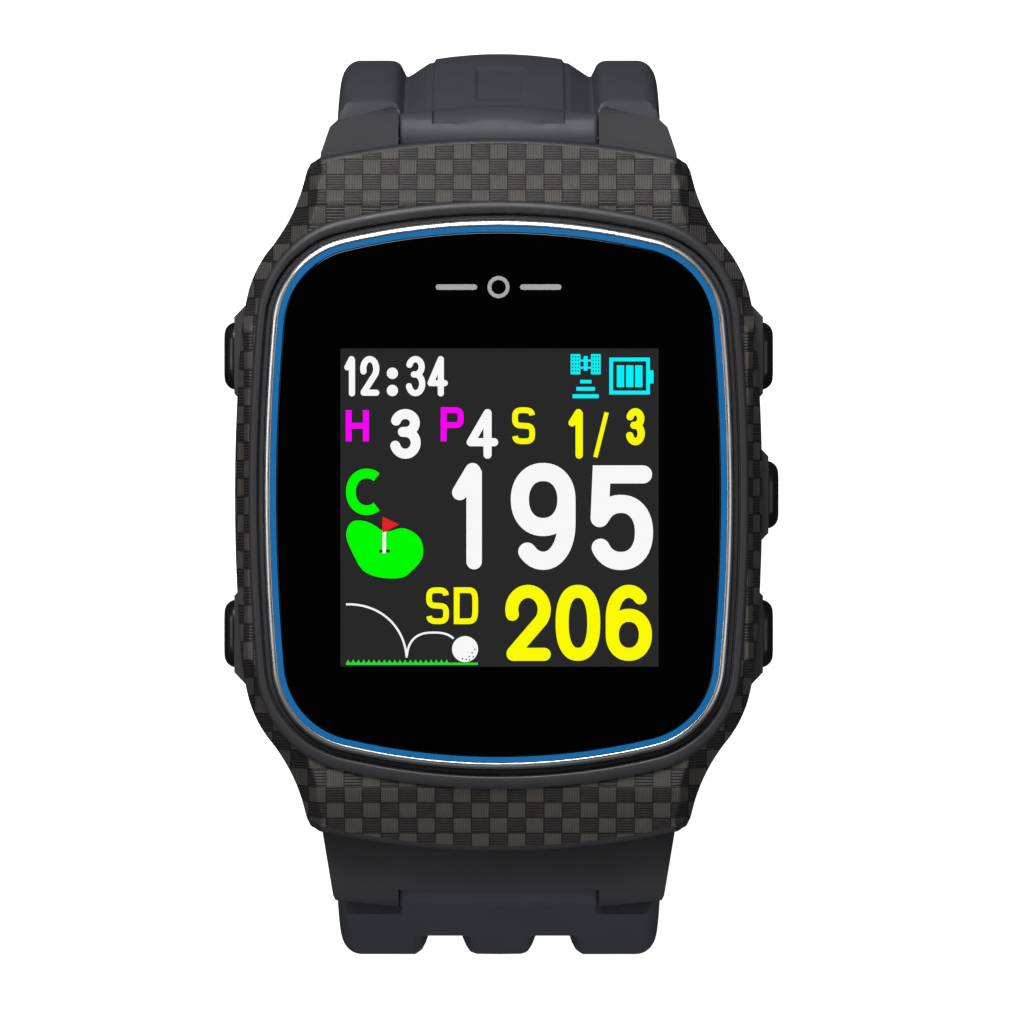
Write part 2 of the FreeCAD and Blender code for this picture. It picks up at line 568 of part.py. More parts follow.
def pill(sketch, gap="0"):
    """The outline of a button's cap, grown all round by a gap."""
    radius = number(f"cap_tall / 2 + {gap}")
    reach = number("cap_long / 2 - cap_tall / 2")
    right = sketch.addGeometry(arc(reach, 0, radius, -90, 90), False)
    top = sketch.addGeometry(line((reach, radius), (-reach, radius)), False)
    left = sketch.addGeometry(arc(-reach, 0, radius, 90, 270), False)
    bottom = sketch.addGeometry(line((-reach, -radius), (reach, -radius)), False)
    for first, second in ((right, top), (top, left), (left, bottom), (bottom, right)):
        sketch.addConstraint(Sketcher.Constraint("Tangent", first, 2, second, 1))
    for end in (right, left):
        sketch.addConstraint(Sketcher.Constraint("DistanceY", -1, 1, end, 3, 0.0))
    fix(sketch, "Radius", (right,), f"cap_tall / 2 + {gap}")
    fix(sketch, "DistanceX", (-1, 1, right, 3), "cap_long / 2 - cap_tall / 2")
    fix(sketch, "DistanceX", (-1, 1, left, 3), "cap_tall / 2 - cap_long / 2")


def make_button(name, side, y, floor):
    """A cap on a stem, its O-ring, the clip that keeps it in, and its folded return spring."""
    cap = new_body(f"cap_{name}", False)
    sketch = new_sketch(cap, "YZ_Plane", "cap_from")
    pill(sketch)
    pull(cap, sketch, "cap_to - cap_from")
    crown = cap.Tip
    face = max(range(len(crown.Shape.Faces)), key=lambda i: crown.Shape.Faces[i].CenterOfMass.x)
    rounded = cap.newObject("PartDesign::Fillet", f"cap_{name}_dome")
    rounded.Base = (crown, [f"Face{face + 1}"])
    rounded.Radius = 0.9
    doc.recompute()
    sketch = new_sketch(cap, "YZ_Plane", "0 - stem_end")
    disc(sketch, "stem_r")
    pull(cap, sketch, "stem_end + cap_from")
    for start, wide, core in (("0.17 - seal_at", "0.34", "seal_groove"),
                              ("0.135 - clip_at - clip_thick / 2", "0.27", "clip_groove")):
        sketch = new_sketch(cap, "YZ_Plane", start)
        disc(sketch, "stem_r + 0.1")
        disc(sketch, core)
        sink(cap, sketch, wide)
    piece(beside(cap, side, y, floor), f"button_cap_{name}")

    seal = new_body(f"seal_{name}", False)
    sketch = new_sketch(seal, "XY_Plane")
    middle = (number("seal_groove") + number("stem_hole")) / 2
    sketch.addGeometry(Part.Circle(Vector(-number("seal_at"), middle, 0), UP, 0.14), False)
    turned = seal.newObject("PartDesign::Revolution", f"seal_{name}_turn")
    turned.Profile = sketch
    turned.ReferenceAxis = (sketch, ["H_Axis"])
    turned.Angle = 360
    doc.recompute()
    piece(beside(seal, side, y, floor), f"button_seal_{name}")

    clip = new_body(f"clip_{name}", False)
    sketch = new_sketch(clip, "YZ_Plane", "0 - clip_at - clip_thick")
    disc(sketch, "clip_r")
    disc(sketch, "clip_groove + 0.02")
    pull(clip, sketch, "clip_thick")
    sketch = new_sketch(clip, "YZ_Plane", "0 - clip_at")
    path(sketch, [(-0.35, 0), (0.35, 0), (0.35, 2), (-0.35, 2)])
    sink(clip, sketch, "clip_thick")
    piece(beside(clip, side, y, floor), f"button_clip_{name}")

    spring = new_body(f"spring_{name}", False)
    sketch = new_sketch(spring, "XY_Plane")
    inner, outer, wall = number("spring_in"), number("spring_out"), number("spring_wall")
    step = (number("cap_from") - wall - 0.04) / 4
    crest = [(0.02 + step * turn, inner if turn % 2 else outer) for turn in range(5)]
    path(sketch, crest + [(x + wall, r) for x, r in reversed(crest)])
    turned = spring.newObject("PartDesign::Revolution", f"spring_{name}_turn")
    turned.Profile = sketch
    turned.ReferenceAxis = (sketch, ["H_Axis"])
    turned.Angle = 360
    doc.recompute()
    piece(beside(spring, side, y, floor), f"button_spring_{name}")


# ---------------------------------------------------------------------------------- the straps

def strap_course(end):
    """A strap's centre line seen from the side, as arcs (y, z, radius, start, end) and a last straight run.

    The first arc starts at the spring bar and ends where the strap is widest, and the second curls it in.
    """
    d = DIMENSIONS
    belly_z = d["tail_arc"] + d["tail_out"]
    radius = d[f"{end}_arc"]
    rise = d["case_lift"] + d[f"{end}_bar_z"] - belly_z
    first_y = d[f"{end}_bar_y"] - math.sqrt(radius**2 - rise**2)
    start = math.degrees(math.asin(rise / radius))
    curl = d["curl_arc"] if end == "upper" else d["tail_arc"]
    turn = d["curl_turn"] if end == "upper" else 90.0
    second_y = first_y + radius - curl
    return [(first_y, belly_z, radius, 0.0, start), (second_y, belly_z, curl, -turn, 0.0)]


def along(end, run, out=0.0):
    """The point on the strap's last straight run at a distance along it, and the run's direction in degrees."""
    y, z, radius, low, _ = strap_course(end)[1]
    angle = math.radians(low)
    point = (y + (radius + out) * math.cos(angle), z + (radius + out) * math.sin(angle))
    return (point[0] + run * math.sin(angle), point[1] - run * math.cos(angle)), low - 90


def strap_slice(name, end, inner, outer, x, width, start_back=0.0, run="0"):
    """Part of a strap between two faces and two planes across it, from the bar to the end of its straight run."""
    body = new_body(name, False)
    sketch = new_sketch(body, "YZ_Plane", x)
    side = 1 if end == "upper" else -1
    course = strap_course(end)
    first = course[0][:4] + (course[0][4] - start_back,)
    length = number(run)
    for y, z, radius, low, high in (first, course[1]):
        for face in (inner, outer):
            angles = (low, high) if side > 0 else (180 - high, 180 - low)
            sketch.addGeometry(arc(side * y, z, radius + face, *angles), False)
    y, z, radius, _, high = first
    top = [(side * (y + (radius + face) * math.cos(math.radians(high))),
            z + (radius + face) * math.sin(math.radians(high))) for face in (inner, outer)]
    sketch.addGeometry(line(*top), False)
    starts = [along(end, 0, face)[0] for face in (inner, outer)]
    stops = [along(end, length, face)[0] for face in (inner, outer)]
    for first_point, second_point in (*zip(starts, stops), stops):
        if first_point != second_point:
            sketch.addGeometry(line((side * first_point[0], first_point[1]),
                                    (side * second_point[0], second_point[1])), False)
    pull(body, sketch, width)
    return body


def nose_cuts(end, y, z):
    """Room for the lugs at both sides of a strap's tongue."""
    reach = "strap_x + 2 - tongue / 2"
    return [rod(f"{end}_nose_cut", "lug_clear", reach, x, y, z, ACROSS)
            for x in ("tongue / 2 - 0.1", "0 - strap_x - 1.9")]


def make_upper_strap():
    """The buckle half: side ridges, two channels, a raised middle panel, a tongue and an eye for the buckle bar."""
    d = DIMENSIONS
    y, z = "upper_bar_y", "case_lift + upper_bar_z"
    base = strap_slice("upper_base", "upper", -d["strap_in"], d["strap_out"], "0 - strap_x", "2 * strap_x",
                       run="upper_run")
    panel = strap_slice("upper_panel", "upper", 0.0, d["panel_out"], "0 - panel_half", "2 * panel_half")
    knuckle = cross_rod("upper_knuckle", "lug_nose", "tongue - 0.2", y, z)
    (eye_y, eye_z), turn = along("upper", d["upper_run"])
    eye = doc.addObject("Part::Cylinder", "upper_eye")
    eye.setExpression("Radius", bound("eye_r"))
    eye.setExpression("Height", bound("2 * buckle_x - 2 * arm_x - 1.2"))
    eye.Placement = Placement(Vector(-number("buckle_x - arm_x - 0.6"), eye_y, eye_z), ACROSS)
    cuts = nose_cuts("upper", y, z)
    for x in ("panel_half", "0 - ridge_half"):
        cuts.append(strap_slice("upper_channel", "upper", d["channel_out"], d["panel_out"] + 1, x,
                                "ridge_half - panel_half", 2.4))
    cuts.append(cross_rod("upper_bar_hole", "bore_r", "tongue + 1", y, z))
    hole = doc.addObject("Part::Cylinder", "eye_hole")
    hole.setExpression("Radius", bound("bar_r"))
    hole.setExpression("Height", bound("2 * buckle_x"))
    hole.Placement = Placement(Vector(-d["buckle_x"], eye_y, eye_z), ACROSS)
    notch = doc.addObject("Part::Box", "eye_notch")
    notch.setExpression("Length", bound("prong_x + 0.6"))
    notch.Width, notch.Height = 7.0, 7.0
    tilt = Rotation(Vector(1, 0, 0), turn)
    corner = Vector(-number("prong_x / 2 + 0.3"), eye_y, eye_z) - tilt.multVec(Vector(0, 3.0, 3.5))
    notch.Placement = Placement(corner, tilt)
    piece(without("upper_strap_cut", joined("upper_blank", [base, panel, knuckle, eye]), cuts + [hole, notch]),
          "upper_strap")


def make_lower_strap():
    """The tail half: two deep rounded slots at its outer face, a tongue, a row of holes and a lifted tip."""
    d = DIMENSIONS
    y, z = "0 - lower_bar_y", "case_lift + lower_bar_z"
    base = strap_slice("lower_base", "lower", -d["strap_in"], d["tail_out"], "0 - strap_x", "2 * strap_x",
                       run="tail_run")
    knuckle = cross_rod("lower_knuckle", "lug_nose", "tongue - 0.2", y, z)
    (end_y, end_z), _ = along("lower", d["tail_run"])
    thick = d["strap_in"] + d["tail_out"]
    tip = new_body("tail_tip", False)
    sketch = new_sketch(tip, "XY_Plane")
    half, long = d["strap_x"], d["tail_tip"]
    sketch.addGeometry(line((-half, 0), (half, 0)), False)
    for side in (1, -1):
        sketch.addGeometry(line((side * half, 0), (side * half, 1)), False)
    bow = ((long - 1) ** 2 + half**2) / (2 * (long - 1))
    spread = math.degrees(math.asin(half / bow))
    sketch.addGeometry(arc(0, long - bow, bow, 90 - spread, 90 + spread), False)
    pull(tip, sketch, "strap_in + tail_out")
    tip.Placement = Placement(Vector(0, -end_y, end_z - d["tail_out"]), Rotation(Vector(1, 0, 0), d["tip_lift"]))
    cuts = nose_cuts("lower", y, z)
    for x in ("slot_mid - slot_half", "0 - slot_mid - slot_half"):
        cuts.append(strap_slice("lower_slot", "lower", -d["slot_floor"], d["tail_out"] + 1, x,
                                "2 * slot_half", 12.0))
    cuts.append(cross_rod("lower_bar_hole", "bore_r", "tongue + 1", y, z))
    _, _, tail, _, _ = strap_course("lower")[1]
    (flat_y, flat_z), _ = along("lower", 0)
    for count in range(8):
        run = d["tail_run"] - 3.0 - count * d["pin_pitch"]
        lean = min(run, 0.0) / tail
        spot = Vector(0, max(run, 0.0) + tail * math.sin(lean) - flat_y, flat_z + tail * (1 - math.cos(lean)))
        tilt = Rotation(Vector(1, 0, 0), math.degrees(lean))
        hole = doc.addObject("Part::Cylinder", "pin_hole")
        hole.setExpression("Radius", bound("pin_hole_r"))
        hole.Height = thick + 2
        hole.Placement = Placement(spot - tilt.multVec(Vector(0, 0, d["tail_out"] + 1)), tilt)
        cuts.append(hole)
    piece(without("lower_strap_cut", joined("lower_blank", [base, knuckle, tip]), cuts), "lower_strap")


def at_buckle(thing, run=0.0):
    """Places a piece whose own +Y points along the upper strap's run and +Z out of the strap's outer face."""
    (y, z), turn = along("upper", DIMENSIONS["upper_run"] + run)
    thing.Placement = Placement(Vector(0, y, z), Rotation(Vector(1, 0, 0), turn))
    return thing


def make_buckle():
    """The buckle frame on its bar, the prong, and the two keepers."""
    d = DIMENSIONS
    (bar_y, bar_z), _ = along("upper", d["upper_run"])
    bar = doc.addObject("Part::Cylinder", "bar")
    bar.setExpression("Radius", bound("bar_r"))
    bar.setExpression("Height", bound("2 * buckle_x - 1"))
    bar.Placement = Placement(Vector(-number("buckle_x - 0.5"), bar_y, bar_z), ACROSS)
    piece(bar, "buckle_bar")

    frame = new_body("frame", False)
    sketch = new_sketch(frame, "XY_Plane", "0 - buckle_thick / 2")
    half, long, arm, front = d["buckle_x"], d["buckle_long"], d["arm_x"], d["buckle_bar"]
    heel = -1.9
    path(sketch, [(half, heel), (half, long - 2), (half - 2, long), (2 - half, long), (-half, long - 2),
                  (-half, heel), (arm - half, heel), (arm - half, long - front), (half - arm, long - front),
                  (half - arm, heel)])
    pull(frame, sketch, "buckle_thick")
    bore = rod("frame_bore", "bore_r", "2 * buckle_x - 0.8", "0.4 - buckle_x", rotation=ACROSS)
    rest = block("prong_rest", ("0 - prong_x / 2 - 0.3", "prong_x / 2 + 0.3"), ("10", "20"), ("0", "3"))
    rest.setExpression("Placement.Base.z", bound("buckle_thick / 2 - 0.5"))
    piece(at_buckle(without("frame_cut", frame, [bore, rest])), "buckle_frame")

    knob = rod("prong_knob", "bar_r + 0.9", "prong_x", "0 - prong_x / 2", rotation=ACROSS)
    shank = block("prong_shank", ("0 - prong_x / 2 + 0.3", "prong_x / 2 - 0.3"), ("0.8", "prong_long"),
                  ("0", "1"))
    shank.setExpression("Placement.Base.z", bound("buckle_thick / 2 - 0.45"))
    shank.setExpression("Height", bound("prong_thick"))
    eye = rod("prong_eye", "bore_r", "prong_x + 1", "0 - prong_x / 2 - 0.5", rotation=ACROSS)
    piece(at_buckle(without("prong_cut", joined("prong_blank", [knob, shank]), [eye])), "buckle_prong")

    for name, back in (("fixed", "fixed_keeper_at"), ("sliding", "sliding_keeper_at")):
        keeper = new_body(f"{name}_loop", False)
        sketch = new_sketch(keeper, "XZ_Plane", "0 - keeper_wide / 2")
        low, high = -d["strap_in"] - 0.05, d["strap_out"] + d["keeper_room"]
        inner = d["strap_x"] + 0.05
        for grow in (0.0, d["keeper_wall"]):
            path(sketch, [(-inner - grow, low - grow), (inner + grow, low - grow), (inner + grow, high + grow),
                          (-inner - grow, high + grow)])
        pull(keeper, sketch, "keeper_wide")
        piece(at_buckle(keeper, -d[back]), f"{name}_keeper")


# ---------------------------------------------------------------------------------- checks and export

make_front()
make_inside()
make_case()
make_bars()
for button in BUTTONS:
    make_button(*button)
make_upper_strap()
make_lower_strap()
make_buckle()
doc.recompute()

for thing in doc.Objects:
    if "Invalid" in thing.State or "Error" in thing.State:
        raise RuntimeError(f"{thing.Name} failed: {thing.State}")
for thing in SUBPARTS:
    if thing.Shape.isNull() or not thing.Shape.isValid() or thing.Shape.Volume <= 0:
        raise RuntimeError(f"{thing.Label} has no valid solid")
os.makedirs("parts", exist_ok=True)
for thing in SUBPARTS:
    thing.Shape.exportStep(f"parts/{thing.Label}.step")
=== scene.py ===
"""The looks of a golf GPS watch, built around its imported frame. Lengths are in mm until they are placed."""
import json
import math
import bmesh
import bpy
import numpy as np
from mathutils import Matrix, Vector


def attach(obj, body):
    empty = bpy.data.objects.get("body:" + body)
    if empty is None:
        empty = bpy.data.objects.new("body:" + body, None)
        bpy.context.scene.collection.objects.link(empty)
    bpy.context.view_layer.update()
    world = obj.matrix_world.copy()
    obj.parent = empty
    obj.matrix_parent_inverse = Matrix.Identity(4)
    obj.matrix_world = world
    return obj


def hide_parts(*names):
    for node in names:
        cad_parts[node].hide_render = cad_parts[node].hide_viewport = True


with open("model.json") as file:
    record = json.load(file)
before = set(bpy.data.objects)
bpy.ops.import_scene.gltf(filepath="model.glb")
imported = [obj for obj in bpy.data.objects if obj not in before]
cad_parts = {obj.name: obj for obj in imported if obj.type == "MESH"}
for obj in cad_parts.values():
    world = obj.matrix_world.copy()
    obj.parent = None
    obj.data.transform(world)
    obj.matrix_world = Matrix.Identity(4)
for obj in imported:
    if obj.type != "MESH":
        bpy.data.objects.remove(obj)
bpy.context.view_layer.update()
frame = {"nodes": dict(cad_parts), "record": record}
MM = 0.001
BODY_OF = {name: body for body, names in frame["record"]["behaviour"]["bodies"].items() for name in names}
SLOT_OF = {part["node"]: part["material_slot"] for part in frame["record"]["subparts"]}

# Heights over the table and half sizes, repeated from the frame's design.
BACK = 47.1
GLASS_TOP = BACK + 13.0
GLASS_X, GLASS_Y = 16.52, 19.41
FLANK_ARC, BROW_ARC, CORNER_ARC = 140.0, 48.0, 6.25
BEZEL_X, BEZEL_Y = 18.12, 21.3
SHELL_X, SHELL_Y = 19.1, 25.95
SHELL_FLANK_ARC, SHELL_FLANK_END = 132.0, 13.5
SHOULDER_ARC, SHOULDER_TURN = 8.5, math.radians(39)
WAIST_ARC, WAIST_TURN = 12.9, math.radians(14)
SHELL_END_ARC = 57.7
ROOF, EAVE, SHELL_FLOOR = BACK + 12.1, BACK + 9.4, BACK + 7.4
END_SLOPE = (ROOF - EAVE) / (SHELL_Y - BEZEL_Y)
FLANK_SLOPE = (ROOF - EAVE) / (SHELL_X + 0.1 - BEZEL_X)
WEAVE = 1.316
RIM_FROM = 23.9

# The display's middle and its lit side, the window's depth, and how far up the printed mark lies.
DISPLAY_MID, DISPLAY_SIDE, WINDOW_DEEP = (0.07, -0.94), 23.0, 0.12
MARK_Y = 15.0
SQUARE_SIGNS = ((-1, -1), (1, -1), (1, 1), (-1, 1))


# ------------------------------------------------------------------------------------ materials

def material(name, colour, roughness=0.5, metallic=0.0, specular=0.5):
    """A material with one Principled shader. Returns the material, its node tree and the shader."""
    made = bpy.data.materials.new(name)
    made.use_nodes = True
    shader = made.node_tree.nodes["Principled BSDF"]
    shader.inputs["Base Color"].default_value = (*colour, 1)
    shader.inputs["Roughness"].default_value = roughness
    shader.inputs["Metallic"].default_value = metallic
    shader.inputs["Specular IOR Level"].default_value = specular
    made.diffuse_color = (*colour, 1)
    return made, made.node_tree, shader


def node(tree, kind, **values):
    """A shader node with the inputs given by name set."""
    made = tree.nodes.new(kind)
    for name, value in values.items():
        made.inputs[name.replace("_", " ")].default_value = value
    return made


def spots(tree, size, detail=3.0):
    """Noise with features of about one size in mm, fixed to the piece."""
    place = tree.nodes.new("ShaderNodeTexCoord")
    noise = node(tree, "ShaderNodeTexNoise", Scale=1 / (size * MM), Detail=detail)
    tree.links.new(place.outputs["Object"], noise.inputs["Vector"])
    return noise.outputs["Fac"]


def vary(tree, fac, low, high, socket):
    """Drives a socket from a factor, between two values or two colours."""
    ramp = tree.nodes.new("ShaderNodeValToRGB")
    ramp.color_ramp.elements[0].position = 0.3
    ramp.color_ramp.elements[1].position = 0.7
    for element, value in zip(ramp.color_ramp.elements, (low, high)):
        element.color = (*value, 1) if isinstance(value, tuple) else (value, value, value, 1)
    tree.links.new(fac, ramp.inputs["Fac"])
    tree.links.new(ramp.outputs["Color"], socket)


def rough_up(tree, shader, fac, depth, strength=1.0):
    """Bump of a real depth in mm."""
    bump = node(tree, "ShaderNodeBump", Strength=strength, Distance=depth * MM)
    tree.links.new(fac, bump.inputs["Height"])
    tree.links.new(bump.outputs["Normal"], shader.inputs["Normal"])


def moulded(name, colour, roughness, grain=0.18, depth=0.012, specular=0.4, mottling=0.1, metallic=0.0):
    """Moulded plastic or rubber: a fine spark-eroded grain, and slow changes of tone and gloss."""
    made, tree, shader = material(name, colour, roughness, metallic, specular)
    slow = spots(tree, 6.0, 2.0)
    vary(tree, slow, tuple(c * (1 - mottling) for c in colour), tuple(c * (1 + mottling) for c in colour),
         shader.inputs["Base Color"])
    vary(tree, spots(tree, 1.7), roughness - 0.05, roughness + 0.05, shader.inputs["Roughness"])
    rough_up(tree, shader, spots(tree, grain), depth)
    return made


def brushed(name, colour, roughness=0.3, squeeze=(1, 30, 30)):
    """Metal with fine lines along X."""
    made, tree, shader = material(name, colour, roughness, 1.0)
    place = tree.nodes.new("ShaderNodeTexCoord")
    scale = tree.nodes.new("ShaderNodeMapping")
    scale.inputs["Scale"].default_value = squeeze
    noise = node(tree, "ShaderNodeTexNoise", Scale=500.0, Detail=4.0)
    tree.links.new(place.outputs["Object"], scale.inputs["Vector"])
    tree.links.new(scale.outputs["Vector"], noise.inputs["Vector"])
    vary(tree, noise.outputs["Fac"], roughness - 0.08, roughness + 0.1, shader.inputs["Roughness"])
    rough_up(tree, shader, noise.outputs["Fac"], 0.004)
    return made


def lit(name, colour, strength=1.0):
    """A lit part of the display."""
    made, _, shader = material(name, (0, 0, 0), 0.6, 0.0, 0.0)
    shader.inputs["Emission Color"].default_value = (*colour, 1)
    shader.inputs["Emission Strength"].default_value = strength
    made.diffuse_color = (*colour, 1)
    return made


def woven():
    """The basket weave: squares whose fine ribs run lengthwise and crosswise in turn, by the weave's UVs. Its
    colour also carries painted shading: lighter on the rib crests, and much darker in the recessed seams.
    """
    made, tree, shader = material("shell_weave", (0.05, 0.047, 0.047), 0.5, 0.0, 0.45)
    links = tree.links
    uv = tree.nodes.new("ShaderNodeUVMap")
    uv.uv_map = "weave"
    split = tree.nodes.new("ShaderNodeSeparateXYZ")
    links.new(uv.outputs["UV"], split.inputs["Vector"])

    def maths(kind, *values):
        made_node = tree.nodes.new("ShaderNodeMath")
        made_node.operation = kind
        for index, value in enumerate(values):
            if isinstance(value, float):
                made_node.inputs[index].default_value = value
            else:
                links.new(value, made_node.inputs[index])
        return made_node.outputs[0]

    u, v = split.outputs["X"], split.outputs["Y"]
    column, row = maths("FLOOR", u), maths("FLOOR", v)
    parity = maths("PINGPONG", maths("ADD", column, row), 1.0)
    across, down = maths("FRACT", u), maths("FRACT", v)
    ribs_u = maths("SINE", maths("MULTIPLY", across, 2 * math.pi * 7))
    ribs_v = maths("SINE", maths("MULTIPLY", down, 2 * math.pi * 6))
    lengthwise = maths("MULTIPLY", ribs_u, parity)
    crosswise = maths("MULTIPLY", ribs_v, maths("SUBTRACT", 1.0, parity))
    ribs = maths("ADD", lengthwise, crosswise)
    edge_u = maths("ABSOLUTE", maths("SUBTRACT", across, 0.5))
    edge_v = maths("ABSOLUTE", maths("SUBTRACT", down, 0.5))
    seam = maths("GREATER_THAN", maths("MAXIMUM", edge_u, edge_v), 0.468)
    height = maths("SUBTRACT", maths("MULTIPLY", ribs, 0.5), maths("MULTIPLY", seam, 1.4))
    # Painted shading: the colour follows the rib height, lighter on the crests and darker between the ribs.
    rib_shading = maths("ADD", maths("MULTIPLY", ribs, 0.5), 0.5)
    # The tone mixes the weave's own two-tone checker and grain noise with the painted rib shading.
    tone = maths("ADD", maths("MULTIPLY", parity, 0.56), maths("MULTIPLY", rib_shading, 0.26))
    tone = maths("ADD", tone, maths("MULTIPLY", spots(tree, 0.5), 0.24))
    # Painted shade: the recessed seams between the squares are darkened to a quarter of the tone.
    tone = maths("MULTIPLY", tone, maths("SUBTRACT", 1.0, maths("MULTIPLY", seam, 0.75)))
    ramp = tree.nodes.new("ShaderNodeValToRGB")
    ramp.color_ramp.elements[0].color = (0.006, 0.006, 0.0066, 1)
    ramp.color_ramp.elements[1].color = (0.128, 0.115, 0.108, 1)
    links.new(tone, ramp.inputs["Fac"])
    links.new(ramp.outputs["Color"], shader.inputs["Base Color"])
    rough_up(tree, shader, height, 0.03)
    return made


LOOKS = {
    "strap_rubber": moulded("strap_rubber", (0.066, 0.071, 0.086), 0.5, 0.12, 0.005, 0.4, 0.03),
    "case_plastic": moulded("case_plastic", (0.056, 0.055, 0.061), 0.55, 0.16, 0.016, 0.45, 0.07),
    "bezel_plastic": moulded("bezel_plastic", (0.045, 0.044, 0.048), 0.42, 0.14, 0.006, 0.5, 0.06),
    "trim_metal": moulded("trim_metal", (0.93, 0.94, 0.95), 0.3, 2.0, 0.0001, 0.5, 0.01, 1.0),
    "accent_blue": moulded("accent_blue", (0.010, 0.19, 0.52), 0.4, 0.3, 0.001, 0.25, 0.02),
    "seal_rubber": moulded("seal_rubber", (0.02, 0.02, 0.02), 0.7),
    "display": moulded("display", (0.02, 0.02, 0.02), 0.3),
    "light_plastic": moulded("light_plastic", (0.75, 0.78, 0.8), 0.2),
    "frame_plastic": moulded("frame_plastic", (0.09, 0.09, 0.1), 0.6),
    "flex_film": moulded("flex_film", (0.5, 0.24, 0.05), 0.35),
    "ceramic": moulded("ceramic", (0.7, 0.65, 0.55), 0.6),
    "board": moulded("board", (0.015, 0.14, 0.05), 0.4),
    "can_metal": brushed("can_metal", (0.6, 0.6, 0.6), 0.35),
    "foam": moulded("foam", (0.04, 0.04, 0.04), 0.9, 0.3, 0.05),
    "cell_foil": brushed("cell_foil", (0.62, 0.63, 0.65), 0.4),
    "part_metal": brushed("part_metal", (0.55, 0.55, 0.56), 0.3),
    "switch_plastic": moulded("switch_plastic", (0.06, 0.06, 0.06), 0.5),
    "cover_plastic": moulded("cover_plastic", (0.032, 0.032, 0.036), 0.5, 0.2, 0.012),
    "screw_steel": brushed("screw_steel", (0.42, 0.42, 0.43), 0.35),
    "contact_gold": brushed("contact_gold", (0.85, 0.6, 0.22), 0.22),
    "bar_steel": brushed("bar_steel", (0.6, 0.6, 0.61), 0.25),
    "button_plastic": moulded("button_plastic", (0.010, 0.010, 0.011), 0.26, 0.2, 0.002, 0.6, 0.1),
    "buckle_steel": moulded("buckle_steel", (0.03, 0.03, 0.034), 0.34, 0.3, 0.003, 0.6, 0.1),
    "keeper_rubber": moulded("keeper_rubber", (0.05, 0.053, 0.063), 0.55, 0.12, 0.006),
    "shell_plastic": woven(),
    "lens_glass": moulded("lens_border", (0.0016, 0.0012, 0.0012), 0.04, 4.0, 0.0002, 0.5, 0.0),
}
for name, thing in frame["nodes"].items():
    for slot in thing.material_slots:
        slot.material = LOOKS[SLOT_OF[name]]


# ------------------------------------------------------------------------------------ building

def build(name, points, faces, looks, body, smooth=True, uvs=None, face_looks=None):
    """A mesh piece from points in mm. It rides on a body."""
    mesh = bpy.data.meshes.new(name)
    mesh.from_pydata((np.asarray(points, dtype=float) * MM).tolist(), [], [list(map(int, f)) for f in faces])
    for look in looks if isinstance(looks, list) else [looks]:
        mesh.materials.append(look)
    if uvs is not None:
        layer = mesh.uv_layers.new(name="weave")
        corners = np.zeros(len(mesh.loops), dtype=np.int64)
        mesh.loops.foreach_get("vertex_index", corners)
        layer.data.foreach_set("uv", np.asarray(uvs)[corners].ravel())
    if face_looks is not None:
        mesh.polygons.foreach_set("material_index", np.asarray(face_looks, dtype=np.int32))
    mesh.polygons.foreach_set("use_smooth", [smooth] * len(mesh.polygons))
    mesh.validate()
    if smooth:
        mesh.set_sharp_from_angle(angle=math.radians(40))
    thing = bpy.data.objects.new(name, mesh)
    bpy.context.scene.collection.objects.link(thing)
    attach(thing, body)
    return thing


def grid_faces(rows, columns, wrap=False, base=0):
    """Faces of a grid of points stored row after row."""
    made = []
    for r in range(rows - 1):
        for c in range(columns if wrap else columns - 1):
            n = (c + 1) % columns
            made.append((base + r * columns + c, base + r * columns + n,
                         base + (r + 1) * columns + n, base + (r + 1) * columns + c))
    return made


def stands_for(piece, *nodes):
    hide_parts(*nodes)
    return piece


def eased(name, width):
    """A CAD node's own shape with its sharp edges rounded by a small radius in mm."""
    source = frame["nodes"][name]
    mesh = source.data.copy()
    work = bmesh.new()
    work.from_mesh(mesh)
    bmesh.ops.remove_doubles(work, verts=work.verts, dist=1e-6)
    bmesh.ops.dissolve_limit(work, angle_limit=math.radians(0.4), verts=work.verts, edges=work.edges)
    work.to_mesh(mesh)
    work.free()
    mesh.polygons.foreach_set("use_smooth", [True] * len(mesh.polygons))
    thing = bpy.data.objects.new(name + "_eased", mesh)
    bpy.context.scene.collection.objects.link(thing)
    bevel = thing.modifiers.new("edges", "BEVEL")
    bevel.width = width * MM
    bevel.segments = 3
    bevel.limit_method = "ANGLE"
    bevel.angle_limit = math.radians(32)
    normals = thing.modifiers.new("normals", "WEIGHTED_NORMAL")
    normals.keep_sharp = True
    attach(thing, BODY_OF[name])
    return stands_for(thing, name)


# ------------------------------------------------------------------------------------ outlines

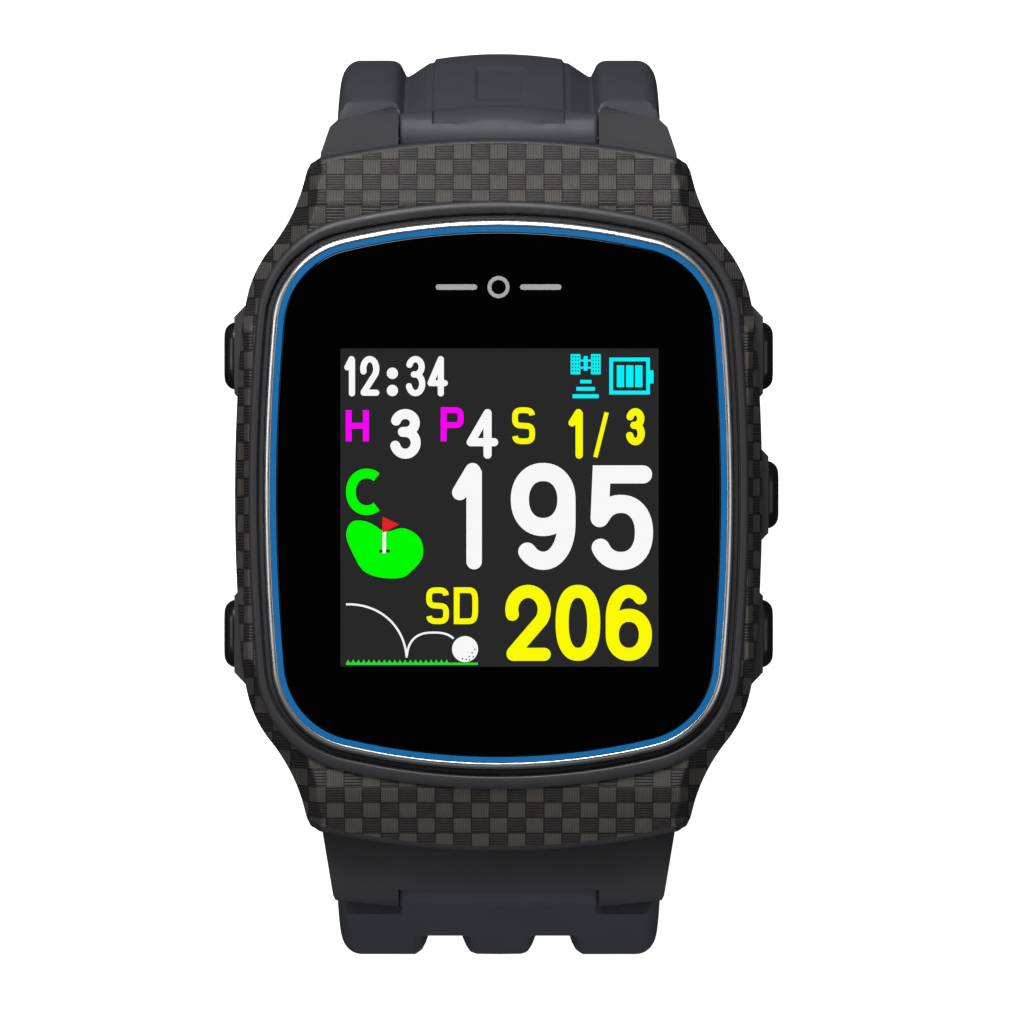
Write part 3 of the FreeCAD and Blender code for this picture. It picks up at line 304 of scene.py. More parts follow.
def barrel_reach(angles, out):
    """How far the glass outline, moved outwards, lies from the dial's middle in each direction."""
    flank, brow, corner = FLANK_ARC + out, BROW_ARC + out, CORNER_ARC + out
    stretch = (BEZEL_Y - GLASS_Y - BEZEL_X + GLASS_X) * max(0.0, (out - 0.98) / 0.62)
    side = np.array([GLASS_X + out - flank, 0.0])
    top = np.array([0.0, GLASS_Y + out + stretch - brow])
    apart = np.linalg.norm(top - side)
    way = (top - side) / apart
    along = ((flank - corner) ** 2 - (brow - corner) ** 2 + apart**2) / (2 * apart)
    away = math.sqrt((flank - corner) ** 2 - along**2)
    mid = side + way * along + away * np.array([-way[1], way[0]])
    rays = np.abs(np.stack([np.cos(angles), np.sin(angles)], 1))
    reach = []
    for centre, radius in ((side, flank), (mid, corner), (top, brow)):
        b = rays @ centre
        reach.append(b + np.sqrt(np.maximum(b**2 - centre @ centre + radius**2, 0)))
    low = mid + corner * (mid - side) / np.linalg.norm(mid - side)
    high = mid + corner * (mid - top) / np.linalg.norm(mid - top)
    turn = np.arctan2(rays[:, 1], rays[:, 0])
    low, high = math.atan2(low[1], low[0]), math.atan2(high[1], high[0])
    return np.where(turn < low, reach[0], np.where(turn < high, reach[1], reach[2]))


def along_arc(mid, radius, start, stop, count):
    """Points along an arc after its first one, by angles from +X."""
    turns = np.linspace(start, stop, count)[1:]
    return [(mid[0] + radius * math.cos(a), mid[1] + radius * math.sin(a)) for a in turns]


def shell_quarter():
    """The shell's outline in the first quarter, as close points from the flank's middle to the end's middle."""
    lean = math.asin(SHELL_FLANK_END / SHELL_FLANK_ARC)
    points = [(SHELL_X - SHELL_FLANK_ARC * (1 - math.cos(a)), SHELL_FLANK_ARC * math.sin(a))
              for a in np.linspace(0, lean, 40)]
    x, y = points[-1]
    mid = (x - SHOULDER_ARC * math.cos(lean), y - SHOULDER_ARC * math.sin(lean))
    points += along_arc(mid, SHOULDER_ARC, lean, SHOULDER_TURN, 30)
    x, y = points[-1]
    mid = (x + WAIST_ARC * math.cos(SHOULDER_TURN), y + WAIST_ARC * math.sin(SHOULDER_TURN))
    points += along_arc(mid, -WAIST_ARC, SHOULDER_TURN, WAIST_TURN, 30)
    x, y = points[-1]
    end_mid = SHELL_Y - SHELL_END_ARC
    corner_x = x
    for _ in range(20):
        corner_y = end_mid + math.sqrt(SHELL_END_ARC**2 - corner_x**2)
        corner_x = x - (corner_y - y) * math.tan(WAIST_TURN)
    round_in = 0.7
    points.append((corner_x + round_in * math.tan(WAIST_TURN), corner_y - round_in))
    points.append((corner_x - 0.12, corner_y - 0.12))
    start = math.asin((corner_x - round_in) / SHELL_END_ARC)
    points += [(SHELL_END_ARC * math.sin(a), end_mid + SHELL_END_ARC * math.cos(a))
               for a in np.linspace(start, 0, 40)]
    return np.array(points)


def ring_angles(count):
    """Directions round the dial, closer together at the corners."""
    even = np.linspace(0, 2 * math.pi, 20000, endpoint=False)
    reach = barrel_reach(even, 0.0)
    x, y = reach * np.cos(even), reach * np.sin(even)
    step = np.hypot(np.diff(x, append=x[:1]), np.diff(y, append=y[:1]))
    heading = np.unwrap(np.arctan2(np.roll(y, -1) - y, np.roll(x, -1) - x))
    turned = np.abs(np.diff(heading, append=heading[-1:]))
    travel = np.cumsum(step / step.sum() + 0.8 * np.minimum(turned, 0.05) / turned.sum())
    marks = np.linspace(0, travel[-1], count, endpoint=False)
    return np.interp(marks, np.concatenate([[0], travel[:-1]]), even)


def ring_sweep(name, profile, look, body, node_name, count=720):
    """A closed ring whose section is a loop of (distance out from the glass outline, height over the back)."""
    angles = ring_angles(count)
    points = []
    for out, height in profile:
        reach = barrel_reach(angles, out)
        level = np.full(count, BACK + height)
        points.append(np.stack([reach * np.cos(angles), reach * np.sin(angles), level], 1))
    rows = len(profile)
    faces = [(r * count + c, r * count + (c + 1) % count, (r + 1) % rows * count + (c + 1) % count,
              (r + 1) % rows * count + c) for r in range(rows) for c in range(count)]
    return stands_for(build(name, np.concatenate(points), faces, look, body), node_name)


# ------------------------------------------------------------------------------------ glass and rings

bow = [math.radians(a) for a in range(0, 91, 9)]
ring_sweep("trim_band", [(0.03, 11.65), (0.03, 12.98)]
           + [(0.06 + 0.42 * math.sin(a), 12.66 + 0.34 * math.cos(a)) for a in bow]
           + [(0.48, 11.65)], LOOKS["trim_metal"], "case", "trim_ring")
ring_sweep("bezel_band", [(0.5, 11.62), (0.52, 12.02)]
           + [(0.62 - 0.1 * math.cos(a), 12.06 + 0.1 * math.sin(a)) for a in bow]
           + [(0.78 + 0.08 * math.sin(a), 12.08 + 0.08 * math.cos(a)) for a in bow]
           + [(0.9, 11.98), (0.97, 12.0), (0.99, 12.2)]
           + [(1.11 - 0.12 * math.cos(a), 12.46 + 0.13 * math.sin(a)) for a in bow]
           + [(1.2 + 0.4 * math.sin(a), 12.2 + 0.4 * math.cos(a)) for a in bow]
           + [(1.6, 11.0), (0.5, 11.0)], LOOKS["bezel_plastic"], "case", "bezel_ring")


def lens_and_window():
    """The black glass with its shallow square window, the display under it and the clear pane over it."""
    half = DISPLAY_SIDE / 2
    square_points = [(DISPLAY_MID[0] + sx * half, DISPLAY_MID[1] + sy * half) for sx, sy in SQUARE_SIGNS]
    corners = [math.atan2(y, x) for x, y in square_points]
    angles = np.sort(np.concatenate([ring_angles(720), np.mod(corners, 2 * math.pi)]))
    count = len(angles)
    cos, sin = np.cos(angles), np.sin(angles)
    with np.errstate(divide="ignore"):
        square = np.minimum(np.where(cos >= 0, (DISPLAY_MID[0] + half) / cos, (DISPLAY_MID[0] - half) / cos),
                            np.where(sin >= 0, (DISPLAY_MID[1] + half) / sin, (DISPLAY_MID[1] - half) / sin))
    rows = [(square, 13.0 - WINDOW_DEEP), (square, 12.985)]
    outer = barrel_reach(angles, -0.44 - 0.1)
    rows += [(square + (outer - square) * t, 12.985) for t in (0.25, 0.5, 0.75, 1.0)]
    rows += [(barrel_reach(angles, -0.54 + 0.1 * math.sin(a)), 12.885 + 0.1 * math.cos(a)) for a in bow[2::2]]
    rows += [(barrel_reach(angles, -0.44), 11.8)]
    points = np.concatenate([np.stack([reach * cos, reach * sin, np.full(count, BACK + height)], 1)
                             for reach, height in rows])
    faces = grid_faces(len(rows), count, wrap=True)
    faces.append([(len(rows) - 1) * count + c for c in range(count)][::-1])
    stands_for(build("lens_border", points, faces, LOOKS["lens_glass"], "case"), "lens")
    face_points = [(x, y, GLASS_TOP - WINDOW_DEEP + 0.002) for x, y in square_points]
    dark = lit("display_dark", (0.0222, 0.0222, 0.0222))
    face = build("display_face", face_points, [(0, 1, 2, 3)], dark, "case", smooth=False)
    clear, _, shader = material("window_pane", (0.01, 0.01, 0.01), 0.03, 0.0, 0.3)
    shader.inputs["Alpha"].default_value = 0.05
    pane_points = [(x, y, GLASS_TOP - 0.02) for x, y in square_points]
    pane = build("window_pane", pane_points, [(0, 1, 2, 3)], clear, "case", smooth=False)


lens_and_window()


def glass_mark():
    """A plain printed mark over the window: a small ring between two thin rounded bars."""
    turns = np.radians(np.linspace(0, 360, 48, endpoint=False))
    points = [(reach * math.cos(a), MARK_Y + reach * math.sin(a)) for reach in (0.8, 0.52) for a in turns]
    faces = [(i, (i + 1) % 48, 48 + (i + 1) % 48, 48 + i) for i in range(48)]
    for side in (-1, 1):
        ends = [(side * mid, start) for mid, start in ((1.75, 90), (4.35, -90))]
        turned = [(x, math.radians(a + start)) for x, start in ends for a in range(0, 181, 20)]
        loop = [(x + side * 0.2 * math.cos(a), MARK_Y + 0.2 * math.sin(a)) for x, a in turned]
        faces.append([len(points) + i for i in range(len(loop))][::side])
        points += loop
    mark = build("glass_mark", [(x, y, GLASS_TOP - 0.006) for x, y in points], faces,
                 moulded("mark_ink", (0.5, 0.51, 0.52), 0.4, 0.3, 0.001, 0.5, 0.03), "case", smooth=False)


glass_mark()


# ------------------------------------------------------------------------------------ the display's graphics

DOT = DISPLAY_SIDE / 144
INK = {"white": lit("ink_white", (0.98, 0.98, 0.98)), "yellow": lit("ink_yellow", (1.0, 1.0, 0.0)),
       "cyan": lit("ink_cyan", (0.0, 0.95, 1.0)), "magenta": lit("ink_magenta", (1.0, 0.0, 1.0)),
       "green": lit("ink_green", (0.0, 1.0, 0.0)), "grass": lit("ink_grass", (0.035, 0.7, 0.04)),
       "red": lit("ink_red", (0.82, 0.015, 0.02)), "dark": lit("ink_dark", (0.0222, 0.0222, 0.0222))}


def on_display(points, layer):
    """Display dots, counted from the top left corner, to mm over the table."""
    left, top = DISPLAY_MID[0] - DISPLAY_SIDE / 2, DISPLAY_MID[1] + DISPLAY_SIDE / 2
    level = GLASS_TOP - WINDOW_DEEP + 0.008 + 0.004 * layer
    return [(left + u * DOT, top - v * DOT, level) for u, v in points]


def curve(middle, reach, start, stop, steps=24, power=2.0):
    """Points along part of a rounded loop, in degrees from three o'clock, with v counted downwards."""
    turns = np.radians(np.linspace(start, stop, steps))
    cos, sin = np.cos(turns), np.sin(turns)
    u = np.sign(cos) * np.abs(cos) ** (2 / power)
    v = np.sign(sin) * np.abs(sin) ** (2 / power)
    return [(middle[0] + reach[0] * a, middle[1] - reach[1] * b) for a, b in zip(u, v)]


def ribbon(line, thick, closed=False, square=False):
    """The outline of a stroke of even thickness along a line of points, as vertices and faces."""
    p = np.array(line, dtype=float)
    keep = np.concatenate([[True], np.hypot(*np.diff(p, axis=0).T) > 1e-3])
    p = p[keep]
    if closed and np.hypot(*(p[0] - p[-1])) < 1e-3:
        p = p[:-1]
    ahead = (np.roll(p, -1, 0) if closed else np.vstack([p[1:], p[-1:] + (p[-1:] - p[-2:-1])])) - p
    back = p - (np.roll(p, 1, 0) if closed else np.vstack([p[:1] - (p[1:2] - p[:1]), p[:-1]]))
    ahead /= np.hypot(*ahead.T)[:, None]
    back /= np.hypot(*back.T)[:, None]
    mean = ahead + back
    mean /= np.maximum(np.hypot(*mean.T)[:, None], 1e-6)
    side = np.stack([-mean[:, 1], mean[:, 0]], 1)
    stretch = 1 / np.maximum((side * np.stack([-ahead[:, 1], ahead[:, 0]], 1)).sum(1), 0.45)
    left, right = p + side * stretch[:, None] * thick / 2, p - side * stretch[:, None] * thick / 2
    n = len(p)
    points = [tuple(q) for q in np.vstack([left, right])]
    faces = [(i, (i + 1) % n, n + (i + 1) % n, n + i) for i in range(n if closed else n - 1)]
    if not closed and not square:
        for end in (p[0], p[-1]):
            faces.append(range(len(points), len(points) + 24))
            points += curve(end, (thick / 2, thick / 2), 0, 345, 24)
    return points, faces


def glyph(sign, u0, v0, u1, v1, thick):
    """The strokes of a digit or letter in a box of display dots, as (line, closed) pairs."""
    h = thick / 2
    l, r, t, b = u0 + h, u1 - h, v0 + h, v1 - h
    w, tall = r - l, b - t
    cu, cv = (l + r) / 2, (t + b) / 2
    if sign == "1":
        peak = (r - 0.1 * w, t)
        return [([(l, t + tall * 0.24), peak], False), ([peak, (r, t + 0.03 * tall), (r, b)], False)]
    if sign == "2":
        top = tall * 0.29
        bowl = curve((cu, t + top), (w / 2, top), 195, -35, 30)
        return [(bowl + [(l + 0.04 * w, b - 0.02 * tall)], False), ([(l + 0.04 * w, b), (r, b)], False)]
    if sign == "3":
        up, low = tall * 0.225, tall * 0.275
        first = curve((cu, t + up), (w * 0.46, up), 165, -90, 26)
        second = curve((cu, b - low), (w / 2, low), 90, -165, 28)
        return [([*first, (cu - 0.12 * w, t + 2 * up)], False), (second, False)]
    if sign == "4":
        bar, stem = t + 0.7 * tall, l + 0.72 * w
        lines = ([(stem, b), (stem, t)], [(stem, t), (l, bar)], [(l, bar), (r, bar)])
        return [(line, False) for line in lines]
    if sign == "5":
        low = tall * 0.33
        bowl = curve((cu, b - low), (w / 2, low), 146, -150, 34, 2.2)
        return [([(r - 0.02 * w, t), (l + 0.08 * w, t), (l + 0.04 * w, b - 1.5 * low)], False), (bowl, False)]
    if sign in "69":
        low = tall * 0.31
        loop = curve((cu, b - low), (w / 2, low), 0, 360, 48, 2.15)
        hook = curve((cu, t + tall * 0.42), (w / 2, tall * 0.42), 48, 180, 26, 2.1) + [(l, b - low)]
        lines = [(loop, True), (hook, False)]
        if sign == "9":
            lines = [([(2 * cu - u, 2 * cv - v) for u, v in line], closed) for line, closed in lines]
        return lines
    if sign == "0":
        return [(curve((cu, cv), (w / 2, tall / 2), 0, 360, 60, 2.35), True)]
    if sign == "C":
        return [(curve((cu, cv), (w / 2, tall / 2), 52, 308, 40, 2.1), False)]
    if sign == "S":
        return [(curve((cu, t + tall / 4), (w / 2, tall / 4), 10, 250, 22, 3.2)
                 + curve((cu, b - tall / 4), (w / 2, tall / 4), 70, -170, 22, 3.2), False)]
    if sign == "D":
        return [([(l, t), *curve((cu, cv), (w / 2, tall / 2), 90, -90, 26, 4.0), (l, b)], True)]
    if sign == "P":
        return [([(l, b), (l, t), *curve((cu, t + tall * 0.24), (w / 2, tall * 0.24), 90, -90, 20, 4.0),
                  (l, t + tall * 0.48)], False)]
    return [([(l, t), (l, b)], False), ([(r, t), (r, b)], False), ([(l, cv), (r, cv)], False)]


def graphic(name, colour, shapes, layer=0):
    """One mesh on the display from shapes in display dots."""
    points, faces = [], []
    for index, (shape_points, shape_faces) in enumerate(shapes):
        base = len(points)
        points += on_display(shape_points, layer + 0.1 * (index % 4))
        faces += [[base + i for i in face] for face in shape_faces]
    thing = build(name, points, faces, INK[colour], "case", smooth=False)


def text(name, colour, signs, thick, square=False, layer=0):
    """Digits or letters, each in its own box of display dots."""
    strokes = [ribbon(line, thick, closed, square)
               for sign, *box in signs for line, closed in glyph(sign, *box, thick)]
    graphic(name, colour, strokes, layer)


def bar(u0, v0, u1, v1):
    return [(u0, v0), (u1, v0), (u1, v1), (u0, v1)], [(0, 1, 2, 3)]


def patch(outline):
    return outline, [list(range(len(outline)))]


def display_graphics():
    clock = [("1", 1.75, 3.4, 6.6, 21.7), ("2", 8.9, 3.4, 17.6, 21.4), ("3", 29.5, 3.4, 38.4, 21.6),
             ("4", 39.4, 3.4, 48.6, 21.7)]
    text("clock", "white", clock, 2.8)
    graphic("clock_colon", "white", [patch(curve((23.5, v), (2.55, 2.6), 0, 345, 24)) for v in (11.2, 19.0)])
    panels = [bar(104.2, 2.5, 108.6, 11.7), bar(113.4, 2.5, 117.8, 11.7), bar(110.1, 3.4, 111.9, 10.0),
              bar(108.6, 5.0, 113.4, 5.9), bar(108.6, 8.2, 113.4, 9.1)]
    waves = [bar(108.5, 14.2, 113.6, 15.8), bar(106.8, 17.4, 115.2, 19.1), bar(105.1, 20.7, 116.9, 22.5)]
    graphic("satellite", "cyan", panels + waves)
    holes = [bar(left + 1.25 * i, 3.4 + 1.6 * j, left + 1.25 * i + 0.55, 4.1 + 1.6 * j)
             for left in (104.9, 114.1) for i in range(3) for j in range(5)]
    graphic("satellite_cells", "dark", holes, 2)
    cell = [bar(121.7, 4.1, 140.1, 5.8), bar(121.7, 19.1, 140.1, 20.8), bar(121.7, 5.8, 123.4, 19.1),
            bar(138.4, 5.8, 140.1, 19.1), bar(140.1, 9.9, 141.7, 15.8)]
    graphic("battery_gauge", "cyan", cell + [bar(u, 7.6, u + 3.3, 17.5) for u in (125.1, 129.3, 133.4)])
    text("letter_h", "magenta", [("H", 2.4, 26.6, 12.8, 43.3), ("P", 45.4, 26.6, 55.7, 43.3)], 2.6, True)
    text("hole_number", "white", [("3", 22.4, 27.4, 36.3, 49.9)], 4.5)
    text("par_number", "white", [("4", 57.1, 27.4, 71.4, 49.9)], 3.7)
    text("letter_s", "yellow", [("S", 77.7, 26.6, 88.1, 43.3)], 2.6, True)
    text("stroke_number", "yellow", [("1", 103.2, 27.4, 109.7, 49.9), ("3", 129.2, 27.0, 137.8, 43.8)], 3.3)
    graphic("slash", "yellow", [ribbon([(115.4, 49.2), (120.5, 28.9)], 2.0, square=True)])
    text("letter_c", "green", [("C", 2.5, 54.4, 21.2, 75.4)], 4.4, True)
    text("distance_1", "white", [("1", 50.5, 51.8, 64.0, 100.0)], 7.0)
    text("distance_95", "white", [("9", 77.1, 51.8, 106.4, 100.2), ("5", 112.4, 52.9, 141.5, 100.3)], 8.2)
    text("letters_sd", "yellow", [("S", 38.8, 108.1, 49.1, 124.8), ("D", 51.3, 108.1, 62.3, 124.8)], 2.6, True)
    text("distance_206", "yellow", [("2", 74.6, 107.0, 95.2, 141.4), ("0", 97.4, 107.0, 117.6, 141.4),
                                    ("6", 120.1, 107.0, 141.0, 141.4)], 5.9)
    green = [(2.5, 86.2), (2.8, 81.5), (5.0, 78.3), (8.0, 77.7), (12.0, 78.3), (16.0, 80.3), (19.0, 82.8),
             (22.5, 82.8), (27.5, 81.0), (32.0, 82.3), (36.0, 85.5), (37.4, 89.5), (37.4, 94.2), (35.5, 97.5),
             (32.0, 101.0), (28.3, 104.1), (18.8, 104.1), (12.0, 102.0), (8.7, 99.0), (5.8, 93.3)]
    graphic("green_shape", "green", [patch(smoothed(green))])
    graphic("flag_pole", "white", [bar(19.0, 83.2, 20.6, 92.6)], 2)
    graphic("flag_cloth", "red", [patch([(19.0, 76.1), (26.6, 79.7), (19.0, 83.5)])], 3)
    graphic("cup_shadow", "dark", [bar(17.5, 91.0, 19.0, 92.4), bar(20.6, 91.0, 22.4, 92.4)], 2)
    fall = curve((3.4, 142.0), (26.6, 26.2), 90, 4, 30, 2.1)
    hop = curve((42.2, 142.0), (12.2, 13.4), 172, 48, 30, 2.6)
    paths = [ribbon(line, 0.95, square=True) for line in ([(2.5, 115.9), *fall], hop)]
    graphic("bounce_path", "white", paths)
    graphic("ball", "white", [patch(curve((56.4, 136.1), (5.9, 5.9), 0, 350, 36))], 2)
    dimples = [bar(56.4 + du, 136.1 + dv, 57.0 + du, 136.7 + dv)
               for du, dv in ((1.6, 3.0), (0.2, 4.4), (-1.4, 4.0), (2.9, 1.4), (4.2, -0.2), (3.4, 3.2),
                              (1.7, 4.6))]
    graphic("ball_dimples", "dark", dimples, 4)
    tufts = [patch([(2.5 + u, 142.4), (3.4 + u, 140.8), (4.4 + u, 142.4)]) for u in np.arange(20) * 2.35]
    graphic("grass", "grass", [bar(2.5, 142.2, 62.2, 143.3)] + tufts, 1)


def smoothed(outline, rounds=3):
    """A closed outline with its corners cut again and again."""
    for _ in range(rounds):
        outline = [(a[0] * k + b[0] * (1 - k), a[1] * k + b[1] * (1 - k))
                   for a, b in zip(outline, outline[1:] + outline[:1]) for k in (0.75, 0.25)]
    return outline


display_graphics()


# ------------------------------------------------------------------------------------ the woven shell

def ease(x):
    x = np.clip(x, 0, 1)
    return x * x * (3 - 2 * x)


def eased_least(a, b, width):
    """The lesser of two heights, with the edge between them rounded."""
    h = np.clip(0.5 + 0.5 * (b - a) / width, 0, 1)
    return b * (1 - h) + a * h - width * h * (1 - h)


def shell_height(x, y):
    """The top of the shell: flat by the bezel, and sloping to its ends and flanks."""
    to_end = ROOF - np.maximum(np.abs(y) - BEZEL_Y, 0) * END_SLOPE
    to_flank = ROOF - (np.abs(x) - BEZEL_X) * FLANK_SLOPE
    return np.minimum(eased_least(to_end, to_flank, 0.35), ROOF)


def facet_height(x, y, gap):
    """The sloping side of the waist, which starts a little way in from the outline."""
    waist = ease((np.abs(y) - 11.0) / 3.5) * ease((np.abs(x) - 12.4) / 1.2)
    return EAVE - 1.2 + gap * 2.2 + (1 - waist) * 4.0


def weave_relief(u, v):
    """How far the woven squares lie under the shell's surface: low cushions, with gaps between them."""
    across, down = np.mod(u, 1) - 0.5, np.mod(v, 1) - 0.5
    parity = np.mod(np.floor(u) + np.floor(v), 2)
    over, under = np.where(parity > 0.5, down, across), np.where(parity > 0.5, across, down)
    cushion = (1 - (2 * over) ** 4 * 0.75) * (1 - (2 * np.abs(under)) ** 8 * 0.9)
    return 0.055 * (cushion - 1)


def shell_loop():
    """The shell's whole outline as even points, with one at each sharp corner."""
    outline = shell_quarter()
    travel = np.concatenate([[0], np.cumsum(np.hypot(*np.diff(outline, axis=0).T))])
    even = np.linspace(0, travel[-1], 235)
    corner = travel[np.argmin(np.hypot(outline[:, 0] - 13.55, outline[:, 1] - 24.1))]
    even[np.argmin(np.abs(even - corner))] = corner
    first = np.stack([np.interp(even, travel, outline[:, 0]), np.interp(even, travel, outline[:, 1])], 1)
    second = (first * [-1, 1])[::-1][1:]
    fourth = (first * [1, -1])[::-1][1:-1]
    return np.concatenate([first, second, -first[1:], fourth])


def woven_shell():
    """The patterned shell round the bezel, from its bezel edge over the slopes and down its walls."""
    top_rows, wall_rows = 40, 13
    loop = shell_loop()
    count = len(loop)
    angles = np.arctan2(loop[:, 1], loop[:, 0])
    rim = np.stack([np.cos(angles), np.sin(angles)], 1) * barrel_reach(angles, 1.5)[:, None]
    tangent = np.roll(loop, -1, 0) - np.roll(loop, 1, 0)
    normal = np.stack([tangent[:, 1], -tangent[:, 0]], 1)
    normal /= np.hypot(*normal.T)[:, None]
    rows = []
    for t in np.linspace(0, 1, top_rows):
        flat = rim + (loop - rim) * t
        height = shell_height(flat[:, 0], flat[:, 1])
        height = eased_least(height, facet_height(loop[:, 0], loop[:, 1], np.hypot(*(loop - flat).T)), 0.3)
        rows.append((flat, height, np.zeros(count)))
    edge = rows[-1][1]
    depth = edge - SHELL_FLOOR
    rows += [(loop, edge - depth * t, depth * t) for t in np.linspace(0, 1, wall_rows + 1)[1:]]
    smooth_rim = np.abs(loop[:, 1]) > RIM_FROM
    points, uvs = [], []
    for index, (flat, height, down) in enumerate(rows):
        x, y = np.abs(flat[:, 0]), np.abs(flat[:, 1])
        u = np.minimum(x, BEZEL_X) + np.maximum(x - BEZEL_X, 0) * 2.69
        v = np.minimum(y, BEZEL_Y) + np.maximum(y - BEZEL_Y, 0) * math.hypot(1, END_SLOPE)
        u = np.sign(flat[:, 0]) * u + down * normal[:, 0]
        v = np.sign(flat[:, 1]) * v + down * normal[:, 1]
        u, v = u / WEAVE + 0.5, v / WEAVE + 0.1
        relief = weave_relief(u, v)
        if index < top_rows:
            gap = np.hypot(*(loop - flat).T)
            plain = smooth_rim * np.clip((0.45 - gap) / 0.1, 0, 1)
            hem = np.clip(1 - gap / 0.25, 0, 1) ** 2 * 0.16
            outward = np.clip(1 - gap / 0.3, 0, 1) * 0.1 * np.abs(normal[:, 0])
            height = height + relief * (1 - plain) - hem
        else:
            outward = relief * (1 - smooth_rim) + 0.1 * np.abs(normal[:, 0])
        flat = flat + normal * outward[:, None]
        points.append(np.stack([flat[:, 0], flat[:, 1], height], 1))
        uvs.append(np.stack([u, v], 1))
    for inset in (0.25, 0.9):
        flat = loop - normal * inset
        points.append(np.stack([flat[:, 0], flat[:, 1], np.full(count, SHELL_FLOOR)], 1))
        uvs.append(uvs[-1])
    faces = grid_faces(len(points), count, wrap=True)
    looks = np.zeros((len(points) - 1, count), dtype=np.int32)
    looks[top_rows + wall_rows:] = 1
    looks[top_rows - 1:, smooth_rim] = 1
    for r in range(top_rows - 4, top_rows - 1):
        looks[r, smooth_rim & (np.hypot(*(loop - rows[r][0]).T) < 0.4)] = 1
    shell = build("woven_shell", np.concatenate(points), faces,
                  [LOOKS["shell_plastic"], LOOKS["bezel_plastic"]], "case",
                  uvs=np.concatenate(uvs), face_looks=looks.ravel())
    stands_for(shell, "front_shell")


woven_shell()


# ------------------------------------------------------------------------------------ rounded copies

for name, width in (("mid_case", 0.28), ("buckle_frame", 0.4), ("buckle_prong", 0.25), ("fixed_keeper", 0.3),
                    ("sliding_keeper", 0.3), ("rear_cover", 0.2)):
    eased(name, width)


# ------------------------------------------------------------------------------------ straps

STRAP_X, STRAP_IN, BELLY = 12.0, 1.3, 27.1
BAR_Y = {"upper": 26.2, "lower": 28.0}
BAR_Z = BACK + 2.6
FIRST_ARC = {"upper": 46.24, "lower": 47.15}
SECOND_ARC = {"upper": (14.0, math.radians(105)), "lower": (25.6, math.radians(90))}


def course(end, s):
    """A strap's centre line from the side, s mm from its bar: a point (y, z) and the outward direction."""
    radius, (curl, turn) = FIRST_ARC[end], SECOND_ARC[end]
    rise = BAR_Z - BELLY
    start = math.asin(rise / radius)
    mid = BAR_Y[end] - math.sqrt(radius**2 - rise**2)
    first = radius * start
    if s <= first:
        angle = start - max(s, 0.0) / radius
        y, z, over = mid + radius * math.cos(angle), BELLY + radius * math.sin(angle), min(s, 0.0)
    else:
        angle = -min((s - first) / curl, turn)
        y, z = mid + radius - curl + curl * math.cos(angle), BELLY + curl * math.sin(angle)
        over = max(s - first - curl * turn, 0.0)
    y, z = y + over * math.sin(angle), z - over * math.cos(angle)
    side = 1 if end == "upper" else -1
    return np.array([side * y, z]), np.array([side * math.cos(angle), math.sin(angle)])


def reach_of(end):
    """How far along a strap its two arcs go."""
    curl, turn = SECOND_ARC[end]
    return FIRST_ARC[end] * math.asin((BAR_Z - BELLY) / FIRST_ARC[end]) + curl * turn


def upper_face(x, s):
    """How far the buckle half's outer face lies from the centre line: a crowned panel with a shallow
    recess, a channel at both sides of it, and the ridges."""
    x = np.abs(x)
    fade = 1 - ease((s - 42.5) / 5)
    panel = 1.8 - 0.4 * (x / 4.9) ** 2
    floor = np.interp(x, [4.85, 4.98, 5.12, 5.3, 6.65, 6.9, 7.1, 7.3, 7.55, 7.9, 8.3],
                      [1.4, 1.1, 1.12, 1.1, 0.2, 0.05, 0.1, 0.6, 1.05, 1.25, 1.3])
    deep = ease((s + 1.25) / 4.6)
    level = 1.3 + 0.55 * (1 - ease((s + 0.5) / 3.0))
    hollow = np.maximum(np.abs(x) - 1.3, 0) ** 2 + np.maximum(np.abs(s - 7.4) - 3.6, 0) ** 2
    panel = panel - 0.22 * ease((0.5 - np.sqrt(hollow)) / 0.25)
    flat = np.where(x < 4.9, panel, level)
    cut = np.where(x < 4.9, panel, floor)
    face = flat + (cut - flat) * deep
    return 1.3 + (face - 1.3) * fade


def lower_face(x, s):
    """How far the tail half's outer face lies from the centre line: two deep slots, whose edges sharpen
    towards the end of the loft."""
    x = np.abs(x)
    slot = ease((s - 9.3) / 1.6)
    hard = ease((s - 34.5) / 7.5)
    cut = np.interp(x, [0, 1.7, 2.2, 2.55, 2.85, 3.3, 4.2, 5.0, 5.4, 5.6, 5.9, 6.4],
                    [1.5, 1.48, 1.3, 0.75, 0.0, -0.42, -0.5, -0.42, 0.0, 0.6, 1.15, 1.5])
    cut = cut + (np.interp(x, [2.65, 2.8, 5.6, 5.75], [1.5, -0.5, -0.5, 1.5]) - cut) * hard
    return 1.5 + (cut - 1.5) * slot


